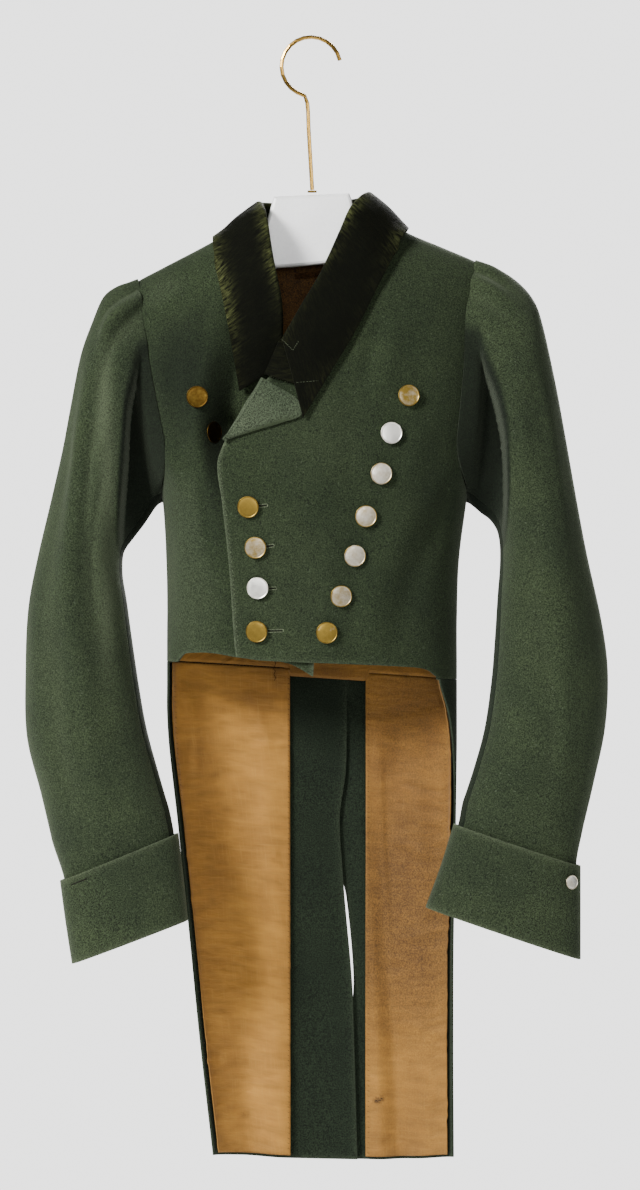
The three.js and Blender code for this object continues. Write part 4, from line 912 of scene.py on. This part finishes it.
def armholeRing(half, turn):
    turn = np.mod(turn, 360)
    top = float(topHeight(half * body["armholeAngle"], True))
    c = np.cos(np.radians(turn))
    z = mix(body["armholeBottom"], top, 0.5 + c / 2)
    edge = np.where(turn < 180, armholeEdge(z, True), armholeEdge(z, False))
    ring = bodyPoint(half * edge, np.minimum(z, top - 0.01))
    ring[..., 0] += half * (2 * softStep(-c, 0.55, 0.95) - 0.9)
    return ring


def cuffRing(word, k, turn, inset=0.0):
    cuff = cuffs[word]
    y, front, back, roundness = (cuffs[column][k] for column in ("y", "front", "back", "roundness"))
    return stationRing(turn, (cuff["outX"][k], cuff["outZ"][k]), (cuff["inX"][k], cuff["inZ"][k]),
                       y, front, back, roundness=roundness, inset=inset)


def sleeveRelief(folds, turn, ring):
    relief = np.zeros(np.broadcast(turn, ring).shape)
    for top, foot, width, depth, start, end in folds:
        down = (ring - start) / (end - start)
        centre = mix(top, foot, softStep(down, 0, 1))
        around = np.mod(turn - centre + 540, 360) - 180
        ends = softStep(down, 0 if start > 0 else -0.3, 0.3) * (1 - softStep(down, 0.55, 1))
        relief += depth * ends * bump(around, width)
    return relief


def sleeveGrid(word, half, start, end, columns, rows):
    turn = np.linspace(start, end, columns)
    stations = np.linspace(1, 14, 53)
    outX, outZ, inX, inZ = (
        hermite(range(1, 15), sleeves[word][k], stations) for k in ("outX", "outZ", "inX", "inZ"))
    forms = [hermite(range(1, 15), sleeves[k], stations) for k in ("y", "front", "back", "crease", "drop")]
    rings = [armholeRing(half, turn)]
    for k, form in enumerate(zip(*forms)):
        rings.append(stationRing(turn, (outX[k], outZ[k]), (inX[k], inZ[k]), *form))
    for k in range(3):
        rings.append(cuffRing(word, k, turn, sleeves["cuffInset"]))
    rings[-1][..., 2] += sleeves["endAbove"]
    rings = np.array(rings)
    steps = np.linalg.norm(np.diff(rings, axis=0), axis=-1).mean(axis=1)
    places = np.concatenate([[0], np.cumsum(steps)])
    down = np.linspace(0, places[-1], rows)
    grid = hermite(places, rings, down)
    ring = np.interp(down, places, [0, *stations, 15, 16, 17])[:, None]
    relief = 1.4 * sleeveRelief(sleeveFolds[word] + sleeveCreases[word], turn[None], ring)
    onFront = np.sin(np.radians(turn))[None] > 0
    crease, drop = (hermite(range(1, 15), sleeves[k], ring[:, 0])[:, None] for k in ("crease", "drop"))
    paintedShade = sleeves["paintedShade"]
    # painted shade on the front of the sleeve beyond its crease, deepest where the sleeve drops away beside
    # the armhole
    paintedHollowShade = np.maximum(drop, paintedShade["least"] * (ring < paintedShade["rings"]))
    paintedHollowShade = paintedHollowShade * softStep(0.5 - np.cos(np.radians(turn))[None] / 2, crease - 0.06, crease + 0.01) * onFront
    # the fold ridges paler, partly rubbed nap and partly painted highlight, with the rubbed bands
    wear = 0.06 * np.clip(relief, 0, 4) + foldRelief(grid, sleeves["rubbed"][word])
    wear = wear - np.minimum(1, paintedShade["strength"] * paintedHollowShade)
    return grid + gridNormals(grid, -half) * relief[..., None], wear


sleevePieces = {}
for word, half in (("left", 1), ("right", -1)):
    front, back = sleeves["seams"]
    gap = sleeves["partTurn"]
    for label, start, end, columns in (
        ("upper", back - 360 + gap, front - gap, 150), ("under", front + gap, back - gap, 64)):
        grid, wear = sleeveGrid(word, half, start, end, columns, 170)
        name = f"sleeve_{word}_{label}"
        # the under-sleeves take the darker tail wool, painted shade, and the upper sleeves the lighter sleeve
        # wool, painted light
        sleevePieces[name] = clothPiece(name, grid, -half, finishes["sleeve" if label == "upper" else "tail"],
                                        body["cloth"], wear)
    turn = np.linspace(0, 360, 121)
    rings = np.array([cuffRing(word, k, turn) for k in range(3)])
    grid = hermite([0, 1, 2], rings, np.linspace(0, 2, 34))
    wear = edgeWear(grid, top=0.7, bottom=0.7, reach=2.5)
    sleevePieces["cuff_" + word] = clothPiece(
        "cuff_" + word, grid, -half, finishes["sleeve"], body["cloth"], wear, closed=True)
print("sleeves made")


# collar

collar = {
    "rows": {
        "at": [1, 3, 5, 7, 8, 9, 10, 11, 12, 14, 16, 17, 18, 19, 21, 23, 25],
        "rollX": [-29, -11, 10, 29, 38, 48, 55, 54, 42, -4, -42, -50, -48, -44, -37, -28, -28],
        "rollY": [-78, -71, -62, -48, -37, -18, 2, 20, 34, 44, 33, 16, -6, -34, -56, -60.5, -53],
        "rollZ": [-303, -271, -235, -193, -172, -159, -154, -155, -158, -161, -162, -163, -165, -178,
                  -222, -270, -325],
        "edgeX": [-7.5, 14, 44, 70, 82, 93, 98, 93, 68, -6, -76, -95, -98, -97, -88, -79, -71],
        "edgeY": [-87, -82, -70.5, -58, -47, -31, -4, 24, 43, 52, 40, 20, -6, -38, -60, -58, -48],
        "edgeZ": [-381, -345, -295, -243, -220, -203.5, -191, -197, -204, -209, -209, -206, -201, -220,
                  -260, -306, -354],
        "seamX": [-22.5, -3.5, 20, 41, 54, 68, 75, 71, 55, -5, -57, -70, -72, -62, -52, -43, -41],
        "seamY": [-74.6, -66.8, -58.8, -47.8, -38.5, -22, 4, 15, 28, 36.8, 23.5, 10, -6, -34.2, -52.8,
                  -53.8, -46.6],
        "seamZ": [-326, -293, -253, -208, -191, -182, -178, -183, -184.3, -186, -184, -182, -182, -195,
                  -233, -281, -334],
    },
    "wear": {  # how far the pile is rubbed off along the roll and the outer edge
        "at": [1, 4, 7, 9, 11, 14, 17, 19, 21, 23, 25],
        "roll": [0.2, 0.12, 0.7, 1.4, 1.2, 0.7, 1.1, 1.4, 1.2, 0.3, 0.1],
        "edge": [0.2, 0.1, 0.15, 0.9, 0.6, 0.5, 0.8, 1.1, 1.4, 0.4, 0.15],
    },
    "rollRadius": 3.7,
    "velvet": 2.6,
    "onShoulder": 0.8,
    "hollowLift": 2.2,
}


def collarSpot(at, part):
    return np.stack([read(collar["rows"], "at", at, part + axis) for axis in "XYZ"], -1)


def unit(vectors):
    return vectors / np.linalg.norm(vectors, axis=-1, keepdims=True)


def clearOfBody(point, gap):
    x, y, z = point[..., 0], point[..., 1], point[..., 2]
    onFront = y < 0
    top = shoulderHeight(x)
    angle = frontAngle(x, z)
    depth = np.abs(bodyPoint(np.where(onFront, angle, 180 - angle), top - body["shoulderRoll"])[..., 1])
    rise = (1 - np.clip(np.abs(y) / depth, 0, 1) ** body["rollPower"]) ** (1 / body["rollPower"])
    above = np.maximum(z, top - body["shoulderRoll"] * (1 - rise) + 1.5 * gap)
    wall = np.where((x > 0)[..., None], leftFrontSurface(angle, z), rightFrontSurface(angle, z))
    wall = np.where(onFront[..., None], wall, bodyPoint(180 - angle, z))[..., 1]
    out = gap + collar["hollowLift"] * (onFront & (x < 0))
    aside = np.where(onFront, np.minimum(y, wall - out), np.maximum(y, wall + out))
    over = rise > collar["onShoulder"]
    return np.stack([x, np.where(over, y, aside), np.where(over, above, z)], -1)


def collarGrid(rows, columns):
    at = np.linspace(1, 25, rows)
    roll, edge, seam = (collarSpot(at, part) for part in ("roll", "edge", "seam"))
    along = collarSpot(at + 0.2, "roll") - collarSpot(at - 0.2, "roll")
    up = unit(roll - edge)
    outward = unit(np.cross(edge - roll, along))
    radius = collar["rollRadius"]

    def fold(degrees):
        turn = math.radians(degrees)
        return roll + up * radius * (math.cos(turn) - 1) + outward * radius * math.sin(turn)

    inner, outer = fold(-80), fold(80)
    rolled = [fold(degrees) for degrees in (-55, -28, 0, 28, 55)]
    section = [seam, mix(seam, inner, 0.5), inner, *rolled, outer]
    for part in (0.22, 0.48, 0.74, 1):
        point = mix(outer, edge, part) + outward * 2.5 * math.sin(math.pi * part)
        section.append(clearOfBody(point, collar["velvet"] + 1))
    section = np.array(section)
    steps = np.linalg.norm(np.diff(section, axis=0), axis=-1).mean(axis=1)
    places = np.concatenate([[0], np.cumsum(steps)])
    grid = hermite(places, section, np.linspace(0, places[-1], columns))
    return np.swapaxes(grid, 0, 1), places / places[-1]


grid, places = collarGrid(150, 64)
part = np.linspace(0, 1, 64)[None]
rollWear = read(collar["wear"], "at", np.linspace(1, 25, 150), "roll")[:, None]
edgeRub = read(collar["wear"], "at", np.linspace(1, 25, 150), "edge")[:, None]
wear = rollWear * bump(part - places[5] - 0.03, 0.085) + edgeRub * bump(part - 1, 0.12) + 0.03
collarPiece = clothPiece("collar", grid, 1, finishes["velvet"], collar["velvet"], wear, level=True)


notch = {"top": (-29, -303), "bottomAtRoll": (-46, -338), "bottomAtSlit": (-18.5, -347.5)}


def makeNotchPiece():
    across, down = np.meshgrid(np.linspace(0, 1, 20), np.linspace(0.06, 1, 24))
    top, roll, slit = notch["top"], notch["bottomAtRoll"], notch["bottomAtSlit"]
    leftX, leftZ = mix(top[0] - 1.5, roll[0], down), mix(top[1], roll[1], down)
    rightX, rightZ = mix(top[0] + 3.5, slit[0] + 2.5, down), mix(top[1], slit[1], down)
    x, z = mix(leftX, rightX, across), mix(leftZ, rightZ, across)
    grid = np.stack([x, -80 - 3.5 * down + 1.5 * across * (1 - down), z], -1)
    return clothPiece("collar_notch_piece", grid, -1, finishes["velvet"], collar["velvet"], 0.12 + 0 * x)


notchPiece = makeNotchPiece()

lapel = {
    "rollX": [-48, -55, -63, -71, -79, -86],
    "rollZ": [-341, -353, -365, -379, -392, -403],
    "outX": [-15, -11, -10, -30, -55, -80],
    "outZ": [-360.5, -367, -379, -386.5, -394, -402],
    "across": [0, 0.07, 0.2, 0.45, 0.72, 1],
}


def makeLapel():
    row = np.linspace(0, 5, 60)
    rollX, rollZ, outX, outZ = (
        hermite(range(6), lapel[k], row)[:, None] for k in ("rollX", "rollZ", "outX", "outZ"))
    across = np.linspace(0, 1, 60)[None]
    x, z = mix(rollX - 1, outX, across), mix(rollZ, outZ, across)
    surface = leftFrontSurface(frontAngle(x, z), z)
    lift = np.where(across < 0.07, mix(3.4, 8.0, across / 0.07), 3.0 + 4.8 * (1 - across))
    grid = np.stack([x, surface[..., 1] - lift, z], -1)
    # painted shade: darker towards the lower edge, down to the front's tone
    wear = 0.85 * softStep(across, 0.6, 1) * softStep(row[:, None], 1.6, 3.2)
    return clothPiece("lapel_left", grid, -1, finishes["lapel"], body["cloth"], wear, edge=0.9)


lapelPiece = makeLapel()
print("collar and lapel made")


# hardware

def dress(name, material):
    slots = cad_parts[name].data.materials
    slots.clear()
    slots.append(material)


for name, label in (("hanger_body", "hanger"), ("hanger_hook", "wire"), ("hook_ring", "wire"),
                    ("hanging_loop", "brownThread")):
    dress(name, finishes[label])

button = {
    # across the face from its middle: share of the radius, and height in mm
    "profile": [(0, 3.35), (0.3, 3.33), (0.62, 3.2), (0.84, 3.0), (0.885, 2.92), (0.91, 3.0), (0.935, 3.3),
                (0.965, 3.38), (0.99, 3.22), (1.0, 2.9), (0.985, 2.5), (0.93, 2.2), (0.5, 1.95), (0.2, 1.85),
                (0.16, 1.4), (0.15, 0.1), (0, 0)],
    "radius": 10.75,
    "cuffRadius": 7,
    "polishAndHighlight": {  # how bright each one's gilding is painted: the highest are painted highlights, the lowest painted shade in the hollow, the rest polish
        "button_left_1": 0.54, "button_left_2": 1.1, "button_left_3": 0.8, "button_left_4": 0.7,
        "button_left_5": 0.75, "button_left_6": 0.65, "button_left_7": 0.45, "button_right_1": 0.03,
        "button_right_2": 0.0, "button_right_3": 0.1, "button_right_4": 0.42, "button_right_5": 0.6,
        "button_right_6": 1.1, "button_right_7": 0.4, "button_cuff_left": 0.9,
    },
}


def makeButton(name):
    # turned about the axis of the node that it stands for
    points = np.array([v.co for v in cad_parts[name].data.vertices])
    middle = points.mean(0)
    axis = np.linalg.eigh(np.cov((points - middle).T))[1][:, 0]
    axis = axis if axis[1] < 0 else -axis
    foot = middle + axis * ((points - middle) @ axis).min()
    radius = button["cuffRadius"] if "cuff" in name else button["radius"]
    polishAndHighlight = button["polishAndHighlight"][name]
    bm = bmesh.new()
    wearLayer = bm.verts.layers.float.new("wear")
    outline = [bm.verts.new((share * radius * mm, 0, height * mm)) for share, height in button["profile"]]
    for start, end in zip(outline, outline[1:]):
        bm.edges.new((start, end))
    bmesh.ops.spin(bm, geom=bm.verts[:] + bm.edges[:], cent=(0, 0, 0), axis=(0, 0, 1), angle=math.tau,
                   steps=40, use_merge=True, dvec=(0, 0, 0))
    bmesh.ops.remove_doubles(bm, verts=bm.verts, dist=1e-6)
    bmesh.ops.recalc_face_normals(bm, faces=bm.faces)
    for vert in bm.verts:
        onRim = 0.93 * radius * mm < math.hypot(vert.co.x, vert.co.y)
        vert[wearLayer] = max(0.0, polishAndHighlight - 0.2 * onRim)
    turn = Vector((0, 0, 1)).rotation_difference(Vector(axis)).to_matrix().to_4x4()
    turn.translation = Vector(foot)
    bmesh.ops.transform(bm, matrix=turn, verts=bm.verts)
    for face in bm.faces:
        face.smooth = True
    return finish(bm, name + "_gilt", finishes["brass"], name)


for name in button["polishAndHighlight"]:
    makeButton(name)
print("buttons made")


# sewing

def frontOf(pieces):
    # what a straight line from the front meets first
    depsgraph = bpy.context.evaluated_depsgraph_get()
    trees = [BVHTree.FromObject(piece, depsgraph) for piece in pieces]

    def meet(x, z):
        hits = [tree.ray_cast(Vector((x * mm, -0.5, z * mm)), Vector((0, 1, 0))) for tree in trees]
        hits = [hit for hit in hits if hit[0] is not None]
        if not hits:
            return None
        place, normal = min(hits, key=lambda hit: hit[3])[:2]
        return np.array(place) / mm, np.array(normal if normal.y < 0 else -normal)

    return meet


def alongPath(path, spacing, start=0.0):
    # evenly spaced places on a broken line of x, z points, with the line's direction at each
    path = np.asarray(path, float)
    steps = np.linalg.norm(np.diff(path, axis=0), axis=1)
    places = np.concatenate([[0], np.cumsum(steps)])
    at = np.arange(start, places[-1], spacing)
    spots = np.stack([np.interp(at, places, path[:, k]) for k in (0, 1)], -1)
    k = np.clip(np.searchsorted(places, at, side="right") - 1, 0, len(steps) - 1)
    return spots, np.diff(path, axis=0)[k] / steps[k][:, None]


def threads(name, strokes, radius, material):
    # each stroke is a short line of points, and becomes a thin round thread
    curve = bpy.data.curves.new(name, "CURVE")
    curve.dimensions = "3D"
    curve.bevel_depth, curve.bevel_resolution, curve.use_fill_caps = radius * mm, 0, True
    for points in strokes:
        spline = curve.splines.new("POLY")
        spline.points.add(len(points) - 1)
        for spot, point in zip(spline.points, points):
            spot.co = (*(np.asarray(point) * mm), 1)
    holder = bpy.data.objects.new(name + "_line", curve)
    mesh = bpy.data.meshes.new_from_object(holder)
    bpy.data.objects.remove(holder)
    bpy.data.curves.remove(curve)
    mesh.name = name
    mesh.materials.clear()
    mesh.materials.append(material)
    for polygon in mesh.polygons:
        polygon.use_smooth = True
    piece = bpy.data.objects.new(name, mesh)
    bpy.context.scene.collection.objects.link(piece)
    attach(piece, "root")
    return piece


def laid(meet, places, sink=0.0):
    # a stroke over x, z places that dips into the cloth at both ends
    stroke = []
    for k, (x, z) in enumerate(places):
        found = meet(x, z)
        if found is None:
            return None
        place, normal = found
        stroke.append(place + normal * (-0.15 if k in (0, len(places) - 1) else sink))
    return stroke


def runStitches(name, meet, path, spacing, length, radius, material, slant=0.0, aside=0.0):
    # short stitches along a path, or across it where slant is 90 degrees
    strokes = []
    spots, ways = alongPath(path, spacing)
    turn = math.radians(slant)
    for (x, z), (wayX, wayZ) in zip(spots, ways):
        x, z = x - wayZ * aside, z + wayX * aside
        alongX = wayX * math.cos(turn) - wayZ * math.sin(turn)
        alongZ = wayX * math.sin(turn) + wayZ * math.cos(turn)
        stroke = laid(meet, [(x + alongX * t * length, z + alongZ * t * length) for t in (-0.5, 0, 0.5)], 0.3)
        if stroke:
            strokes.append(stroke)
    return threads(name, strokes, radius, material)


def workedHole(name, meet, start, end, width, thread, material):
    # a buttonhole: a close ring of thread round a dark slit
    start, end = np.array(start, float), np.array(end, float)
    along = (end - start) / np.linalg.norm(end - start)
    across = np.array([-along[1], along[0]])
    ring = []
    for k in range(25):
        turn = math.tau * k / 24
        cap = start if math.cos(turn) < 0 else end
        place = cap + along * math.cos(turn) * width / 2 + across * math.sin(turn) * width / 2
        found = meet(*place)
        ring.append(found[0] + found[1] * 0.2)
    slit = laid(meet, [start + (end - start) * t for t in (0, 0.25, 0.5, 0.75, 1)], 0.02)
    threads(name + "_slit", [slit], width * 0.24, finishes["darkThread"])
    return threads(name, [ring], thread, material)


sewing = {
    "frontEdge": [(-88.5, -418), (-90, -430), (-88.5, -441), (-84.5, -470), (-79.5, -510), (-75, -560),
                  (-72.5, -600), (-70.5, -614)],
    "holes": [((-67, -469.5), (-44, -467.6)), ((-63.5, -511.6), (-37.5, -507.2)),
              ((-61, -550), (-35, -549.4)), ((-54, -592), (-28.5, -591.2))],
    "cuffHole": ((-237.5, -843), (-221.5, -836.6)),
    "notchSeams": [[(-29.2, -303), (-17.7, -314.6)], [(-12.6, -306.3), (-17.7, -314.6)]],
    "notchEdge": [(-45.8, -338.2), (-30, -343.3), (-19, -347.8)],
    "chestLine": [(-13, -346.5), (-2, -345.5), (9, -344.5)],
    "liningEdges": {
        "right": [[(-137, -632), (-134.5, -700), (-128, -782), (-119, -880), (-108, -1000), (-98.5, -1116)],
                  [(-22.6, -640), (-22.6, -1118)]],
        "left": [[(57.8, -650), (57.8, -1119)], [(134, -700), (139, -880), (142.5, -1000), (144, -1114)]],
    },
    "waistSeam": [(-138, -622.9), (-114, -624.4), (-82, -626.4), (-30, -629.6)],
    "looseThread": [(-37, -622), (-35.5, -625), (-38, -630), (-36, -632.5), (-37.5, -636),
                    (-35.5, -639.5), (-37, -642)],
}
onFront = frontOf([panelPieces["front_left"], lapelPiece])
pale, brown = finishes["paleThread"], finishes["brownThread"]
trims = {"front_left": [], "tail_lining_left": [], "tail_lining_right": [], "collar": [], "cuff_right": []}
trims["front_left"].append(runStitches("edge_stitches", onFront, sewing["frontEdge"], 4.6, 1.3, 0.2, pale))
for k, (start, end) in enumerate(sewing["holes"]):
    trims["front_left"].append(workedHole(f"buttonhole_{k + 1}", onFront, start, end, 2.8, 0.36, pale))
onCuff = frontOf([sleevePieces["cuff_right"]])
trims["cuff_right"].append(workedHole(
    "buttonhole_cuff", onCuff, *sewing["cuffHole"], 3.4, 0.35, finishes["sleeve"]))
onCollar = frontOf([collarPiece, notchPiece, lapelPiece, panelPieces["front_left"]])
for k, seam in enumerate(sewing["notchSeams"]):
    trims["collar"].append(runStitches(
        f"notch_stitches_{k + 1}", onCollar, seam, 2.2, 2.0, 0.13, pale, slant=20))
trims["collar"].append(runStitches(
    "notch_edge_stitches", onCollar, sewing["notchEdge"], 2.4, 2.2, 0.17, pale, slant=75))
trims["front_left"].append(runStitches("chest_stitches", onCollar, sewing["chestLine"], 3.2, 2.6, 0.13, pale))
for word, edges in sewing["liningEdges"].items():
    onLining = frontOf([tailPieces["tail_lining_" + word], tailPieces["tail_" + word]])
    for k, edge in enumerate(edges):
        trims["tail_lining_" + word].append(runStitches(
            f"lining_stitches_{word}_{k + 1}", onLining, edge, 5.2, 2.4, 0.2, brown, slant=60))
onInside = frontOf([bodyLining, tailPieces["tail_lining_right"]])
trims["tail_lining_right"].append(runStitches(
    "waist_stitches", onInside, sewing["waistSeam"], 3.4, 2.6, 0.2, finishes["darkThread"]))
trims["tail_lining_right"].append(threads(
    "loose_thread", [laid(onInside, sewing["looseThread"], 1.2)], 0.35, finishes["darkThread"]))
print("sewing made")


# studio

studio = {
    "cameraAt": (0.009, -6.0, -0.556),
    "halfHeight": 0.595,  # of what the camera sees at the coat
    "floor": -1.42,
    "floorRadius": 1.9,
    "paperGlow": 2.6,  # the pale surroundings as the camera sees them
    "worldLight": 0.14,  # and as they light the coat
    "lights": [
        ("key", (-3.1, -3.0, 1.7), 1.3, 490, (0, 0, -0.5)),
        ("right", (3.2, -2.6, 0.4), 1.6, 34, (0, 0, -0.6)),
        ("front", (0.15, -5.8, 0.15), 1.2, 92, (0, 0, -0.6)),
        ("back", (0.8, 4.4, 1.6), 1.8, 480, (0, 0, -0.6)),
    ],
}


def makeStudio():
    camera = bpy.data.objects.new("camera", bpy.data.cameras.new("camera"))
    camera.location = studio["cameraAt"]
    camera.rotation_euler = (math.radians(90), 0, 0)
    camera.data.lens = 18 / (studio["halfHeight"] / -studio["cameraAt"][1])
    camera.data.clip_end = 60
    bpy.context.scene.collection.objects.link(camera)
    bpy.context.scene.camera = camera

    bm = bmesh.new()
    bmesh.ops.create_circle(bm, cap_ends=True, segments=96, radius=studio["floorRadius"])
    bmesh.ops.translate(bm, verts=bm.verts, vec=(0, 0, studio["floor"]))
    mesh = bpy.data.meshes.new("floor")
    bm.to_mesh(mesh)
    bm.free()
    paper = startMaterial("paperPale", {"Base Color": (0.9, 0.9, 0.895, 1), "Roughness": 0.95})[0]
    mesh.materials.append(paper)
    floor = bpy.data.objects.new("floor", mesh)
    bpy.context.scene.collection.objects.link(floor)

    for name, place, size, power, aim in studio["lights"]:
        light = bpy.data.lights.new(name, "AREA")
        light.size, light.energy = size, power
        lamp = bpy.data.objects.new(name, light)
        lamp.location = place
        lamp.rotation_euler = (Vector(aim) - Vector(place)).to_track_quat("-Z", "Y").to_euler()
        bpy.context.scene.collection.objects.link(lamp)
    world = bpy.data.worlds.new("studio")
    world.use_nodes = True
    surroundings = world.node_tree.nodes["Background"]
    surroundings.inputs["Color"].default_value = (1, 1, 0.995, 1)
    dim, bright = studio["worldLight"], studio["paperGlow"]
    seen = addNode(world.node_tree, "ShaderNodeLightPath").outputs["Is Camera Ray"]
    strength = maths(world.node_tree, "MULTIPLY_ADD", seen, bright - dim, dim)
    world.node_tree.links.new(strength, surroundings.inputs["Strength"])
    bpy.context.scene.world = world


makeStudio()
